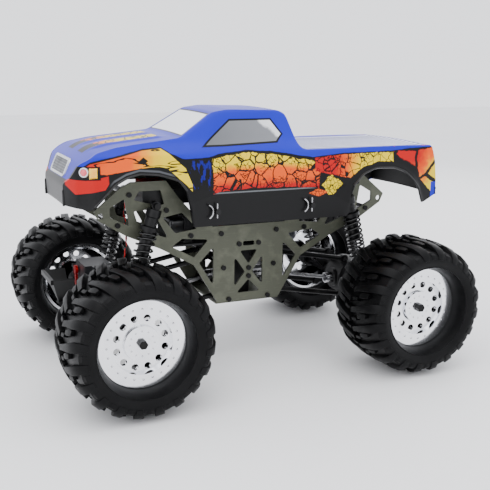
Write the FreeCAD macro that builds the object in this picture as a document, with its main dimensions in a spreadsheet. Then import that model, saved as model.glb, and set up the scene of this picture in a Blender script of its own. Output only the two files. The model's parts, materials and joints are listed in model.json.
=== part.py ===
"""Radio-controlled monster truck: plate chassis, solid axles on parallel links, body shell.

Frame: +X forward, +Y to the truck's left, +Z up. The origin is on the ground, at the middle of
the wheelbase and of the track. Millimetres throughout.
"""
import FreeCAD, Part
import math
import os
import Sketcher

from FreeCAD import Placement, Rotation, Vector

X_AXIS = Vector(1, 0, 0)
Y_AXIS = Vector(0, 1, 0)
Z_AXIS = Vector(0, 0, 1)

# Driving dimensions: alias, value in mm (or degrees), what it is.
DIMENSIONS = [
    ("wheelbase", 320, "front to rear axle"),
    ("track", 256, "left to right wheel centre"),
    ("tyre_radius", 75, "outside of the tread"),
    ("tyre_width", 94, "section width of a tyre"),
    ("tyre_wall", 4, "thickness of the tyre carcass"),
    ("rim_radius", 44, "outer bead ring of a rim"),
    ("rim_width", 50, "overall width of a rim"),
    ("rim_wall", 2.2, "thickness of a rim's barrel"),
    ("rim_hole", 3.5, "radius of a window in the rim face"),
    ("rim_hole_circle", 25, "radius of the circle of windows"),
    ("plate_outside", 45, "centre line to the outer face of a chassis plate"),
    ("plate_thickness", 2.5, "chassis plate"),
    ("plate_hole", 1.6, "screw hole in a chassis plate"),
    ("mount_hole", 3, "cross hole at each end of a chassis plate"),
    ("skid_thickness", 2.5, "skid plate"),
    ("post_radius", 3.5, "spacer post between the plates"),
    ("pin_radius", 2, "link and shock pins"),
    ("pin_fit", 0.05, "radial running clearance"),
    ("link_radius", 3, "suspension link rod"),
    ("link_run", 104, "link length along the truck"),
    ("link_drop", 19, "how far a link falls from chassis to axle"),
    ("lower_pivot_x", 28, "chassis pivot of the lower links"),
    ("lower_pivot_z", 82, "chassis pivot of the lower links"),
    ("upper_pivot_x", 36, "chassis pivot of the upper links"),
    ("upper_pivot_z", 122, "chassis pivot of the upper links"),
    ("lower_link_y", 35, "centre of a lower link"),
    ("upper_link_y", 20, "centre of an upper link"),
    ("shaft_above_pivot", 12, "driveshaft joint above the lower pivot"),
    ("driveshaft_radius", 2.2, "driveshaft"),
    ("ball_radius", 3.6, "dogbone ball"),
    ("cup_radius", 6.5, "outside of a drive cup"),
    ("cup_bore", 4.4, "inside of a drive cup"),
    ("cup_floor", 1.4, "closed end of a drive cup"),
    ("axle_shaft_radius", 3, "axle shaft"),
    ("housing_radius", 24, "differential housing"),
    ("tube_radius", 8, "axle tube"),
    ("kingpin_y", 100, "kingpin from the centre line"),
    ("steer_arm", 26, "kingpin to steering pin"),
    ("shock_y", 57, "shock absorber from the centre line"),
    ("shock_top_z", 191, "upper shock pin"),
    ("shock_bottom_z", 86, "lower shock pin"),
    ("shock_body_radius", 7, "shock cylinder"),
    ("shock_bore", 5.8, "inside of the shock cylinder"),
    ("shock_rod_radius", 1.75, "shock rod"),
    ("spring_radius", 10.2, "outside of the coil spring"),
    ("spring_inside", 8.2, "inside of the coil spring"),
    ("spring_seat", 10.4, "collar and cup that hold the spring"),
    ("motor_radius", 18, "motor can"),
    ("motor_length", 53, "motor can"),
    ("shell_thickness", 1.5, "body shell sheet"),
    ("wire_radius", 1.15, "steering servo lead"),
]

doc = FreeCAD.newDocument("MonsterTruck")
sheet = doc.addObject("Spreadsheet::Sheet", "Sizes")
SIZE = {}
for row, (alias, value, meaning) in enumerate(DIMENSIONS, start=1):
    sheet.set("A%d" % row, meaning)
    sheet.set("B%d" % row, str(value))
    sheet.setAlias("B%d" % row, alias)
    SIZE[alias] = float(value)
doc.recompute()

NODES = []
AXLE_X = SIZE["wheelbase"] / 2
AXLE_Z = SIZE["tyre_radius"]
WHEEL_Y = SIZE["track"] / 2
PLATE_OUT = SIZE["plate_outside"]
PLATE_IN = PLATE_OUT - SIZE["plate_thickness"]
LINK = Vector(SIZE["link_run"], 0, -SIZE["link_drop"])
LOWER_PIVOT = Vector(SIZE["lower_pivot_x"], 0, SIZE["lower_pivot_z"])
UPPER_PIVOT = Vector(SIZE["upper_pivot_x"], 0, SIZE["upper_pivot_z"])
OUTPUT_Z = SIZE["lower_pivot_z"] + SIZE["shaft_above_pivot"]
DRIVE_POINT = Vector(SIZE["lower_pivot_x"], 0, OUTPUT_Z)
AXLE_POINT = DRIVE_POINT + LINK
PIN = SIZE["pin_radius"]
FIT = SIZE["pin_fit"]
KINGPIN_Y = SIZE["kingpin_y"]
STEER_PIN_X = AXLE_X + SIZE["steer_arm"]


# ---------------------------------------------------------------- helpers

def node(obj, label):
    """Names a finished sub-part and lists it for export."""
    obj.Label = label
    NODES.append(obj)
    return obj


def bind(obj, prop, value):
    """Sets a property from a number, or from an expression on the sheet."""
    if isinstance(value, str):
        obj.setExpression(prop, value)
    else:
        setattr(obj, prop, value)


def sized(alias):
    """The expression for a cell of the sheet."""
    return "Sizes." + alias


def cylinder(start, direction, length, radius):
    """A round bar from start along direction."""
    obj = doc.addObject("Part::Cylinder", "Bar")
    bind(obj, "Radius", radius)
    bind(obj, "Height", length)
    obj.Placement = Placement(start, Rotation(Z_AXIS, direction))
    return obj


def cross_bar(x, z, low_y, high_y, radius):
    """A round bar across the truck."""
    return cylinder(Vector(x, low_y, z), Y_AXIS, high_y - low_y, radius)


def box(low, high):
    """A box between two corners."""
    obj = doc.addObject("Part::Box", "Block")
    obj.Length = high[0] - low[0]
    obj.Width = high[1] - low[1]
    obj.Height = high[2] - low[2]
    obj.Placement = Placement(Vector(*low), Rotation())
    return obj


def ball(centre, radius):
    obj = doc.addObject("Part::Sphere", "Ball")
    bind(obj, "Radius", radius)
    obj.Placement = Placement(centre, Rotation())
    return obj


def fuse(parts):
    obj = doc.addObject("Part::MultiFuse", "Union")
    obj.Shapes = parts
    obj.Refine = False
    return obj


def cut(base, tools):
    obj = doc.addObject("Part::Cut", "Difference")
    obj.Base = base
    obj.Tool = tools[0] if len(tools) == 1 else fuse(tools)
    obj.Refine = False
    return obj


def group(parts):
    """Separate solids that share one node."""
    obj = doc.addObject("Part::Compound", "Group")
    obj.Links = parts
    return obj


def feature(shape):
    """A shape made with Part's own functions."""
    obj = doc.addObject("Part::Feature", "Shape")
    obj.Shape = shape
    return obj


def rounded(points, radius):
    """Lines and tangent arcs around a polygon whose corners have one radius."""
    corners = [Vector(x, y, 0) for x, y in points]
    starts, ends, arcs = [], [], []
    count = len(corners)
    for i, corner in enumerate(corners):
        before = (corners[i - 1] - corner).normalize()
        after = (corners[(i + 1) % count] - corner).normalize()
        half = before.getAngle(after) / 2
        reach = radius / math.tan(half)
        first = corner + before * reach
        last = corner + after * reach
        centre = corner + (before + after).normalize() * (radius / math.sin(half))
        middle = centre + (corner - centre).normalize() * radius
        starts.append(first)
        ends.append(last)
        arcs.append(Part.Arc(first, middle, last))
    edges = []
    for i in range(count):
        edges.append(arcs[i])
        edges.append(Part.LineSegment(ends[i], starts[(i + 1) % count]))
    return edges


def origin_plane(body, role):
    return [f for f in body.Origin.OriginFeatures if f.Role == role][0]


def sketch_on(body, role):
    sketch = body.newObject("Sketcher::SketchObject", "Outline")
    sketch.AttachmentSupport = [(origin_plane(body, role), "")]
    sketch.MapMode = "FlatFace"
    return sketch


def add_hole(sketch, x, y, radius):
    """A circle in a sketch; its radius follows the sheet if it is an expression."""
    start = SIZE[radius.split(".")[1]] if isinstance(radius, str) else radius
    index = sketch.addGeometry(Part.Circle(Vector(x, y, 0), Z_AXIS, start), False)
    if isinstance(radius, str):
        number = sketch.addConstraint(Sketcher.Constraint("Radius", index, start))
        sketch.setExpression("Constraints[%d]" % number, radius)


def side_plate(outline, windows, holes, low_y, thickness, corner=2.0, window_corner=1.5):
    """A plate in the X-Z plane from low_y towards +Y, with rounded windows and round holes."""
    body = doc.addObject("PartDesign::Body", "Plate")
    sketch = sketch_on(body, "XZ_Plane")
    for edge in rounded(outline, corner):
        sketch.addGeometry(edge, False)
    for window in windows:
        for edge in rounded(window, window_corner):
            sketch.addGeometry(edge, False)
    for x, z, radius in holes:
        add_hole(sketch, x, z, radius)
    pad = body.newObject("PartDesign::Pad", "Thickness")
    pad.Profile = sketch
    bind(pad, "Length", thickness)
    pad.Reversed = True
    body.Placement = Placement(Vector(0, low_y, 0), Rotation())
    return body


def turned(profile, start, direction):
    """A body of revolution; profile points are (radius, distance along the axis)."""
    body = doc.addObject("PartDesign::Body", "Turning")
    sketch = sketch_on(body, "XY_Plane")
    points = [Vector(r, a, 0) for r, a in profile]
    for i, point in enumerate(points):
        sketch.addGeometry(Part.LineSegment(point, points[(i + 1) % len(points)]), False)
    revolution = body.newObject("PartDesign::Revolution", "Turn")
    revolution.Profile = sketch
    revolution.ReferenceAxis = (sketch, ["V_Axis"])
    revolution.Angle = 360
    body.Placement = Placement(start, Rotation(Y_AXIS, direction))
    return body


def toothed(start, direction, teeth, module, thickness, bore, phase=0.0):
    """A spur gear: straight-flanked teeth, 0.8 modules tall above the pitch circle."""
    pitch = teeth * module / 2
    root = pitch - 1.1 * module
    tip = pitch + 0.8 * module
    half_root = 0.25 * math.pi * module / root
    half_tip = 0.10 * math.pi * module / tip
    points = []
    for i in range(teeth):
        angle = 2 * math.pi * i / teeth + math.radians(phase)
        for radius, offset in ((root, -half_root), (tip, -half_tip), (tip, half_tip),
                               (root, half_root)):
            points.append(Vector(radius * math.cos(angle + offset),
                                 radius * math.sin(angle + offset), 0))
    wire = Part.makePolygon(points + points[:1])
    solid = Part.Face(wire).extrude(Vector(0, 0, thickness))
    solid = solid.cut(Part.makeCylinder(bore, thickness))
    obj = feature(solid)
    obj.Placement = Placement(start, Rotation(Z_AXIS, direction))
    return obj


def mirrored_x(point, side):
    return Vector(point.x * side, point.y, point.z)


# ---------------------------------------------------------------- chassis

# One half of a chassis plate's edge, from the bottom corner round to the top centre.
PLATE_EDGE = [
    (38.4, 73.5), (66, 119), (105, 141), (143, 158), (172, 176), (177, 186),
    (149, 209), (137, 215), (98, 215), (84, 196), (62, 172), (44, 161),
]
PLATE_WINDOWS = [
    [(43, 138), (43, 93), (60, 121)],
    [(49, 147), (66, 128), (92, 142), (80, 150)],
    [(62, 160), (88, 157), (102, 175), (80, 179)],
    [(96, 152), (128, 164), (134, 184), (114, 185)],
    [(100, 189), (116, 191), (134, 196), (128, 205), (104, 205)],
    [(139, 168), (160, 179), (160, 189), (144, 198)],
]
CENTRE_WINDOWS = [
    [(-11, 131), (11, 131), (0, 115)],
    [(-15, 82), (15, 82), (0, 97)],
    [(17.5, 125), (17.5, 89), (4.5, 106)],
    [(-17.5, 125), (-17.5, 89), (-4.5, 106)],
    [(-7, 136.5), (7, 136.5), (7, 141.5), (-7, 141.5)],
]
PLATE_SCREWS = [(34, 152.5), (24.3, 75.8), (31, 113), (12, 139), (70, 153)]
CENTRE_SCREWS = [(0, 110.6), (0, 101)]
POST_PLACES = [(98, 183), (139, 202), (152, 170)]


def both_ends(points):
    return [(x * side, z) for side in (1, -1) for x, z in points]


def chassis_plate(label, low_y):
    outline = PLATE_EDGE + [(-x, z) for x, z in reversed(PLATE_EDGE)]
    windows = list(CENTRE_WINDOWS)
    for window in PLATE_WINDOWS:
        windows.append(window)
        windows.append([(-x, z) for x, z in reversed(window)])
    screws = both_ends(PLATE_SCREWS + POST_PLACES) + CENTRE_SCREWS
    holes = [(x, z, sized("plate_hole")) for x, z in screws]
    holes += [(side * 170, 181, sized("mount_hole")) for side in (1, -1)]
    node(side_plate(outline, windows, holes, low_y, sized("plate_thickness")), label)


def skid_plate():
    low = SIZE["lower_pivot_z"] - 11
    base = doc.addObject("Part::Box", "SkidPlate")
    base.Length = 78
    base.setExpression("Width", "2 * (Sizes.plate_outside - Sizes.plate_thickness)")
    base.setExpression("Height", sized("skid_thickness"))
    base.Placement = Placement(Vector(-39, -PLATE_IN, low), Rotation())
    holes = [cylinder(Vector(x, y, low - 1), Z_AXIS, 5, sized("plate_hole"))
             for x in (-30, 30) for y in (-32, 32)]
    node(cut(base, holes), "skid_plate")


def cross_posts():
    """Spacer posts and link pins that run from one plate to the other."""
    posts = [cross_bar(x, z, -PLATE_IN, PLATE_IN, sized("post_radius"))
             for x, z in both_ends(POST_PLACES)]
    for side in (1, -1):
        for pivot in (LOWER_PIVOT, UPPER_PIVOT):
            posts.append(cross_bar(pivot.x * side, pivot.z, -PLATE_IN, PLATE_IN,
                                   sized("pin_radius")))
    node(group(posts), "cross_posts")


def plate_screws():
    """Button-head screws outside the plates, and the upper shock screws."""
    screws = []
    for side in (1, -1):
        outward = Vector(0, side, 0)
        for x, z in both_ends(PLATE_SCREWS + POST_PLACES) + CENTRE_SCREWS:
            start = Vector(x, side * PLATE_OUT, z)
            screws.append(cylinder(start, outward, 1.8, 2.8))
        for end in (1, -1):
            top = Vector(end * SHOCK_TOP_X[end], side * PLATE_OUT, SIZE["shock_top_z"])
            screws.append(fuse([cylinder(top, outward, 18, sized("pin_radius")),
                                cylinder(top + outward * 18, outward, 2, 3.2)]))
    node(group(screws), "plate_screws")


SHOCK_TOP_X = {1: 114.0, -1: 119.0}
SHOCK_BOTTOM_X = {1: 145.0, -1: 145.0}
GEARBOX_HALF_Y = 24
LAYSHAFT_Z = OUTPUT_Z + 25
MOTOR_POINT = Vector(0, 0, LAYSHAFT_Z + 24)


def gearbox_half(label, x_low, x_high, x_inner_low, x_inner_high, extras):
    """Half of the gearbox case: a box with bearing bores, hollowed for the gears."""
    low_z = OUTPUT_Z - 19
    high_z = LAYSHAFT_Z + 15
    outer = box((x_low, -GEARBOX_HALF_Y, low_z), (x_high, GEARBOX_HALF_Y, high_z))
    hollow = box((x_inner_low, -GEARBOX_HALF_Y + 3, low_z + 2.5),
                 (x_inner_high, GEARBOX_HALF_Y - 3, high_z - 2.5))
    bores = [cylinder(Vector(-60, 0, z), X_AXIS, 120, radius)
             for z, radius in ((OUTPUT_Z, 4.05), (LAYSHAFT_Z, 2.05))]
    base = fuse([outer] + extras) if extras else outer
    node(cut(base, [hollow] + bores), label)


def motor_mount():
    """The plate that carries the motor, joined to the rear case by two side walls."""
    plate = box((-24, -GEARBOX_HALF_Y, LAYSHAFT_Z + 3), (-21.5, GEARBOX_HALF_Y, LAYSHAFT_Z + 41))
    walls = [box((-22, low, LAYSHAFT_Z + 3), (-9, low + 3, LAYSHAFT_Z + 15))
             for low in (-GEARBOX_HALF_Y, GEARBOX_HALF_Y - 3)]
    relief = cylinder(MOTOR_POINT + Vector(-30, 0, 0), X_AXIS, 20, 6.2)
    return cut(fuse([plate] + walls), [relief])


def gearbox():
    gearbox_half("gearbox_front_case", 0, 10, -1, 7.5, [])
    gearbox_half("gearbox_rear_case", -10, 0, -7.5, 1, [motor_mount()])


def motor():
    radius, length = SIZE["motor_radius"], SIZE["motor_length"]
    can = turned([(0, 0), (radius, 0), (radius, length - 4), (radius - 3, length), (6, length),
                  (6, length + 2), (0, length + 2)],
                 MOTOR_POINT + Vector(-24, 0, 0), Vector(-1, 0, 0))
    node(can, "motor_can")
    shaft = cylinder(MOTOR_POINT + Vector(-24, 0, 0), X_AXIS, 9, 1.6)
    pinion = toothed(MOTOR_POINT + Vector(-20.5, 0, 0), X_AXIS, 15, 0.8, 5, 1.6)
    node(group([shaft, pinion]), "motor_pinion")


def gear_train():
    spur = toothed(Vector(-20, 0, LAYSHAFT_Z), X_AXIS, 45, 0.8, 4, 2)
    node(spur, "spur_gear")
    shaft = cylinder(Vector(-20.5, 0, LAYSHAFT_Z), X_AXIS, 30, 2)
    small = toothed(Vector(-4, 0, LAYSHAFT_Z), X_AXIS, 20, 1.0, 8, 2)
    node(group([shaft, small]), "layshaft")
    big = toothed(Vector(-3, 0, OUTPUT_Z), X_AXIS, 30, 1.0, 6, 4, phase=6)
    node(big, "output_gear")
    cup_start = 20.2
    bar = cylinder(Vector(-cup_start - 0.5, 0, OUTPUT_Z), X_AXIS, 2 * cup_start + 1, 4)
    cups = [drive_cup(Vector(side * cup_start, 0, OUTPUT_Z), Vector(side, 0, 0), 16.8)
            for side in (1, -1)]
    node(fuse([bar] + cups), "output_shaft")


def drive_cup(start, direction, length):
    """A slotted cup, closed at its start, that takes a dogbone's ball and cross pin."""
    floor = SIZE["cup_floor"]
    outer = cylinder(start, direction, length, sized("cup_radius"))
    hollow = cylinder(start + direction * floor, direction, length, sized("cup_bore"))
    if abs(direction.x) > 0.5:
        reach = sorted((start.x + direction.x * floor, start.x + direction.x * (length + 1)))
        slot = box((reach[0], -9, start.z - 1.7), (reach[1], 9, start.z + 1.7))
    else:
        reach = sorted((start.y + direction.y * floor, start.y + direction.y * (length + 1)))
        slot = box((start.x - 1.7, reach[0], start.z - 9), (start.x + 1.7, reach[1], start.z + 9))
    return cut(outer, [hollow, slot])


def battery_and_electronics():
    tray = box((-14, -PLATE_IN, 141), (92, PLATE_IN, 143))
    slots = [box((x, -34, 140), (x + 14, -26, 144)) for x in (0, 30, 60)]
    slots += [box((x, 26, 140), (x + 14, 34, 144)) for x in (0, 30, 60)]
    node(cut(tray, slots), "battery_tray")
    pack = box((-10, -23.5, 143), (86, 23.5, 168))
    pack_round = doc.addObject("Part::Fillet", "PackEdges")
    pack_round.Base = pack
    doc.recompute()
    pack_round.Edges = [(i + 1, 3.0, 3.0) for i in range(12)]
    node(pack_round, "battery_pack")
    straps = []
    for x in (8, 60):
        outer = box((x, -25.5, 143), (x + 10, 25.5, 169.6))
        inner = box((x - 1, -24, 142), (x + 11, 24, 168.2))
        straps.append(cut(outer, [inner]))
    node(group(straps), "battery_straps")
    speed_case = box((92, 4, 186.5), (122, 38, 204))
    node(speed_case, "speed_controller")
    base = box((94, 6, 204), (120, 36, 206))
    fins = [box((94, y, 206), (120, y + 1.2, 213)) for y in range(6, 35, 4)]
    node(fuse([base] + fins), "heat_sink")
    receiver = box((92, -34, 186.5), (122, -8, 200))
    node(receiver, "receiver_box")


BODY_PIN_X = (52, -62)
BODY_PIN_Z = 184


def body_mounts():
    """Four brackets with side pins that carry the shell, and the spring clips on the pins."""
    mounts, clips = [], []
    for x in BODY_PIN_X:
        for side in (1, -1):
            outward = Vector(0, side, 0)
            foot_low = sorted((side * PLATE_OUT, side * (PLATE_OUT + 3)))
            foot = box((x - 5, foot_low[0], 164), (x + 5, foot_low[1], 190))
            pin = cylinder(Vector(x, side * PLATE_OUT, 184), outward, 36, 3)
            collar = cylinder(Vector(x, side * 68, 184), outward, 4, 6)
            ring = cylinder(Vector(x, side * 77.5, 174), Z_AXIS, 20, 0.95)
            mounts.append(cut(fuse([foot, pin, collar]), [ring]))
            clips.append(body_clip(x, side))
    node(group(mounts), "body_mounts")
    node(group(clips), "body_clips")


def body_clip(x, side):
    """A bent wire clip: a straight leg through the pin and a bowed leg round it."""
    y = side * 77.5
    path = [Vector(x, y, 177), Vector(x, y, 192)]
    top = Vector(x + side * 5, y, 197)
    leg = Part.LineSegment(*path)
    bend = Part.Arc(path[1], top, Vector(x + side * 9, y, 191))
    bow = Part.Arc(Vector(x + side * 9, y, 191), Vector(x + side * 4.6, y, 184),
                   Vector(x + side * 9, y, 177))
    solids = []
    for curve in (leg, bend, bow):
        spine = Part.Wire([curve.toShape()])
        start = curve.value(curve.FirstParameter)
        tangent = curve.tangent(curve.FirstParameter)[0]
        circle = Part.Wire([Part.Circle(start, tangent, 0.9).toShape()])
        solids.append(spine.makePipeShell([circle], True, True))
    joined = solids[0]
    for solid, joint in zip(solids[1:], (path[1], Vector(x + side * 9, y, 191))):
        joined = joined.fuse([solid, Part.makeSphere(0.9, joint)])
    return feature(joined)


# ---------------------------------------------------------------- body shell

SHELL_SIDE = [
    (176, 191), (206, 195), (208, 218), (203, 223), (196, 239), (178, 250), (156, 254.5),
    (104, 260), (86, 262), (46, 287), (27, 289.5), (-33, 288), (-41, 284), (-51, 250),
    (-56, 246.5), (-225, 246.5), (-231, 228), (-234, 205), (-234, 186), (-216, 178),
    (-107, 168), (76, 168),
]
SHELL_FRONT = [(77, 160), (77, 205), (71, 246), (64, 251), (59, 257), (46, 289), (40, 292)]
SHELL_PLAN = [(212, 44), (208, 62), (186, 74), (150, 77), (60, 75), (-80, 75), (-130, 77),
              (-200, 76), (-236, 70)]


def prism(points, direction, length):
    """A straight-sided solid from a closed outline of points."""
    wire = Part.makePolygon(points + points[:1])
    return Part.Face(wire).extrude(direction * length)


def closed_outline(half, axis_first):
    """A half outline and its mirror image in the centre line."""
    if axis_first:
        return half + [(a, -b) for a, b in reversed(half)]
    return half + [(-a, b) for a, b in reversed(half)]


def shell_block(inset, drop):
    """The shell's envelope: side, front and plan outlines in one, drawn in by inset."""
    side_outline = SHELL_SIDE
    front_outline = closed_outline(SHELL_FRONT, False)
    plan_outline = closed_outline(SHELL_PLAN, True)
    if inset:
        side_outline = inset_outline(side_outline, inset)
        front_outline = inset_outline(front_outline, inset)
        plan_outline = inset_outline(plan_outline, inset)
    lowered = [(x, z - drop if z < 200 else z) for x, z in side_outline]
    side = prism([Vector(x, -120, z) for x, z in lowered], Y_AXIS, 240)
    deepened = [(y, z - drop if z < 200 else z) for y, z in front_outline]
    front = prism([Vector(-300, y, z) for y, z in deepened], X_AXIS, 600)
    plan = prism([Vector(x, y, 50) for x, y in plan_outline], Z_AXIS, 350)
    return side.common(front).common(plan)


def inset_outline(points, inset):
    """A closed outline moved inwards: each corner slides along its bisector."""
    area = sum(a[0] * b[1] - b[0] * a[1] for a, b in zip(points, points[1:] + points[:1]))
    sign = 1 if area > 0 else -1
    moved = []
    for i, (x, y) in enumerate(points):
        before = points[i - 1]
        after = points[(i + 1) % len(points)]
        first = Vector(x - before[0], y - before[1], 0).normalize()
        last = Vector(after[0] - x, after[1] - y, 0).normalize()
        normal_one = Vector(-first.y, first.x, 0) * sign
        normal_two = Vector(-last.y, last.x, 0) * sign
        bisector = (normal_one + normal_two).normalize()
        reach = inset / bisector.dot(normal_one)
        moved.append((x + bisector.x * reach, y + bisector.y * reach))
    return moved


def wheel_arch(points):
    """The opening over a wheel, cut through the side walls and the floor of the fender."""
    return prism([Vector(x, -120, z) for x, z in points], Y_AXIS, 240)


FRONT_ARCH = [(215, 160), (183, 196), (163, 217), (150, 224), (136, 227.5), (115, 225.6),
              (94, 219), (86, 208), (76, 160)]
REAR_ARCH = [(-108, 160), (-115.5, 203), (-129, 216), (-146, 222), (-170, 221.5), (-185, 216),
             (-197, 206), (-206, 195), (-219, 160)]


def body_shell():
    """One sheet of clear plastic, moulded over the whole envelope and open underneath."""
    shell = shell_block(0, 0).cut(shell_block(SIZE["shell_thickness"], 60))
    shell = shell.cut(wheel_arch(FRONT_ARCH)).cut(wheel_arch(REAR_ARCH))
    for x in BODY_PIN_X:
        shell = shell.cut(Part.makeCylinder(3.2, 240, Vector(x, -120, BODY_PIN_Z), Y_AXIS))
    node(feature(shell), "body_shell")


# ---------------------------------------------------------------- suspension links

def link_bar(start, end, y, open_bore):
    """A rod with a pierced eye at each end."""
    first = Vector(start.x, y, start.z)
    last = Vector(end.x, y, end.z)
    along = (last - first).normalize()
    rod = cylinder(first + along * 4, along, (last - first).Length - 8, sized("link_radius"))
    eyes = [cylinder(point - Y_AXIS * 3, Y_AXIS, 6, 5) for point in (first, last)]
    bores = [cylinder(point - Y_AXIS * 4, Y_AXIS, 8, radius)
             for point, radius in ((first, PIN + FIT), (last, open_bore))]
    return cut(fuse([rod] + eyes), bores)


def links(end, side):
    lower_start = mirrored_x(LOWER_PIVOT, side)
    lower_end = mirrored_x(LOWER_PIVOT + LINK, side)
    upper_start = mirrored_x(UPPER_PIVOT, side)
    upper_end = mirrored_x(UPPER_PIVOT + LINK, side)
    lower = [link_bar(lower_start, lower_end, hand * SIZE["lower_link_y"], PIN + FIT)
             for hand in (1, -1)]
    upper = [link_bar(upper_start, upper_end, hand * SIZE["upper_link_y"], PIN + 0.4)
             for hand in (1, -1)]
    node(group(lower), end + "_lower_links")
    node(group(upper), end + "_upper_links")


def driveshaft(end, side):
    """A dogbone: a shaft with a ball and a cross pin at each end."""
    start = mirrored_x(DRIVE_POINT, side)
    finish = mirrored_x(AXLE_POINT, side)
    along = finish - start
    bar = cylinder(start, along, along.Length, sized("driveshaft_radius"))
    parts = [bar]
    for point in (start, finish):
        parts.append(ball(point, sized("ball_radius")))
        parts.append(cross_bar(point.x, point.z, -6.2, 6.2, 1.2))
    node(fuse(parts), end + "_driveshaft")


# ---------------------------------------------------------------- axles

RING_TEETH = 24
PINION_TEETH = 8
TOOTH_INNER = 14.0
TOOTH_OUTER = 16.5


def ring_gear(x, hand, label):
    """A face gear turned about Y: radial teeth on the side that faces the pinion."""
    disc = Part.makeCylinder(18, 3, Vector(0, 0, 6), Z_AXIS)
    hub = Part.makeCylinder(8, 6, Vector(0, 0, 3), Z_AXIS)
    solid = disc.fuse(hub)
    pitch = 2 * math.pi / RING_TEETH
    for i in range(RING_TEETH):
        angle = pitch * (i + 0.5)
        half = 0.2 * pitch
        corners = [(TOOTH_INNER, -half), (TOOTH_OUTER, -half), (TOOTH_OUTER, half),
                   (TOOTH_INNER, half)]
        points = [Vector(r * math.cos(angle + a), r * math.sin(angle + a), 4.0)
                  for r, a in corners]
        solid = solid.fuse(prism(points, Z_AXIS, 2.5))
    bore = Part.makeCylinder(SIZE["axle_shaft_radius"], 20, Vector(0, 0, -2), Z_AXIS)
    obj = feature(solid.cut(bore))
    obj.Placement = Placement(Vector(x, 0, AXLE_Z), Rotation(Z_AXIS, Vector(0, hand, 0)))
    node(obj, label)


def axle_pinion(end, side):
    """The axle's input: a drive cup, its shaft and the pinion that meets the ring gear."""
    cup_floor = AXLE_POINT.x + 7
    start = Vector(side * cup_floor, 0, AXLE_Z)
    cup = drive_cup(start, Vector(-side, 0, 0), 13)
    shaft = cylinder(start, Vector(side, 0, 0), AXLE_X - TOOTH_INNER - cup_floor,
                     sized("axle_shaft_radius"))
    gear_start = AXLE_X - TOOTH_OUTER + 0.2
    points = []
    for i in range(PINION_TEETH):
        angle = 2 * math.pi * i / PINION_TEETH
        for radius, offset in ((3.8, -0.75), (5.7, -0.55), (5.7, 0.55), (3.8, 0.75)):
            points.append(Vector(side * gear_start,
                                 radius * math.cos(angle) - offset * math.sin(angle),
                                 AXLE_Z + radius * math.sin(angle) + offset * math.cos(angle)))
    teeth = feature(prism(points, Vector(side, 0, 0), 2.1))
    node(fuse([cup, shaft, teeth]), end + "_pinion_shaft")


def axle_housing(end, side, tube_end, ends):
    """The solid axle: a hollow centre, two tubes, link brackets and shock brackets."""
    centre = Vector(side * AXLE_X, 0, AXLE_Z)
    inward = Vector(-side, 0, 0)
    parts = [cross_bar(centre.x, AXLE_Z, -17, 17, sized("housing_radius"))] + ends
    parts.append(cylinder(centre, inward, 26, 12))
    parts.append(cross_bar(centre.x, AXLE_Z, -tube_end, tube_end, sized("tube_radius")))
    hollow = [cross_bar(centre.x, AXLE_Z, -14, 14, 20.5)]
    hollow.append(cross_bar(centre.x, AXLE_Z, -104, 104, 4.5))
    hollow.append(cross_bar(centre.x, AXLE_Z, -120, 120, SIZE["axle_shaft_radius"] + FIT))
    hollow.append(cylinder(centre, inward, 18, 6.6))
    hollow.append(cylinder(centre + inward * 17, inward, 12, SIZE["axle_shaft_radius"] + FIT))
    hollow.append(cylinder(centre + inward * 20.4, inward, 12, 7.2))
    face_x = sorted((side * (AXLE_X + 15), side * (AXLE_X + 30)))
    hollow.append(box((face_x[0], -20, AXLE_Z - 30), (face_x[1], 20, AXLE_Z + 30)))
    lower_end = mirrored_x(LOWER_PIVOT + LINK, side)
    upper_end = mirrored_x(UPPER_PIVOT + LINK, side)
    shock_end = Vector(side * SHOCK_BOTTOM_X[side], 0, SIZE["shock_bottom_z"])
    for hand in (1, -1):
        parts += bracket(centre, lower_end, hand * 29.5, hand * 38.5, 3.2)
        parts += bracket(centre, upper_end, hand * 14.5, hand * 23.5, 3.2)
        parts += bracket(centre, shock_end, hand * 49, hand * 60.5, 3.6)
    if side > 0:
        hollow += [cylinder(Vector(centre.x, hand * KINGPIN_Y, AXLE_Z - 22), Z_AXIS, 44, PIN + FIT)
                   for hand in (1, -1)]
    node(cut(fuse(parts), hollow), end + "_axle_housing")


def bracket(centre, pivot, arm_y, pin_y, half):
    """A flat arm from the axle to a pivot, with a pin standing out of it."""
    out = pivot - centre
    out.y = 0
    along = Vector(out.x, 0, out.z).normalize()
    across = Vector(-along.z, 0, along.x)
    base = Vector(centre.x, 0, centre.z)
    tip = Vector(pivot.x, 0, pivot.z)
    arm_low = min(arm_y, arm_y + math.copysign(1, arm_y)) - 1.5
    corners = [base + across * (half + 2), tip + across * half, tip - across * half,
               base - across * (half + 2)]
    arm = feature(prism([Vector(c.x, arm_low, c.z) for c in corners], Y_AXIS, 3))
    boss = cross_bar(tip.x, tip.z, arm_low, arm_low + 3, half)
    low, high = sorted((arm_y, pin_y))
    pin = cross_bar(tip.x, tip.z, low, high, sized("pin_radius"))
    return [arm, boss, pin]


def axle_cover(end, side):
    """The domed cover that closes the housing on the side away from the driveshaft."""
    profile = [(0, 0), (22, 0), (22, 2.5), (16, 5.5), (0, 5.5)]
    shell = turned(profile, Vector(side * (AXLE_X + 15), 0, AXLE_Z), Vector(side, 0, 0))
    pocket = turned([(0, -1), (17, -1), (17, 1.5), (12, 4), (0, 4)],
                    Vector(side * (AXLE_X + 15), 0, AXLE_Z), Vector(side, 0, 0))
    node(cut(shell, [pocket]), end + "_axle_cover")


# ---------------------------------------------------------------- steering

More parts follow.
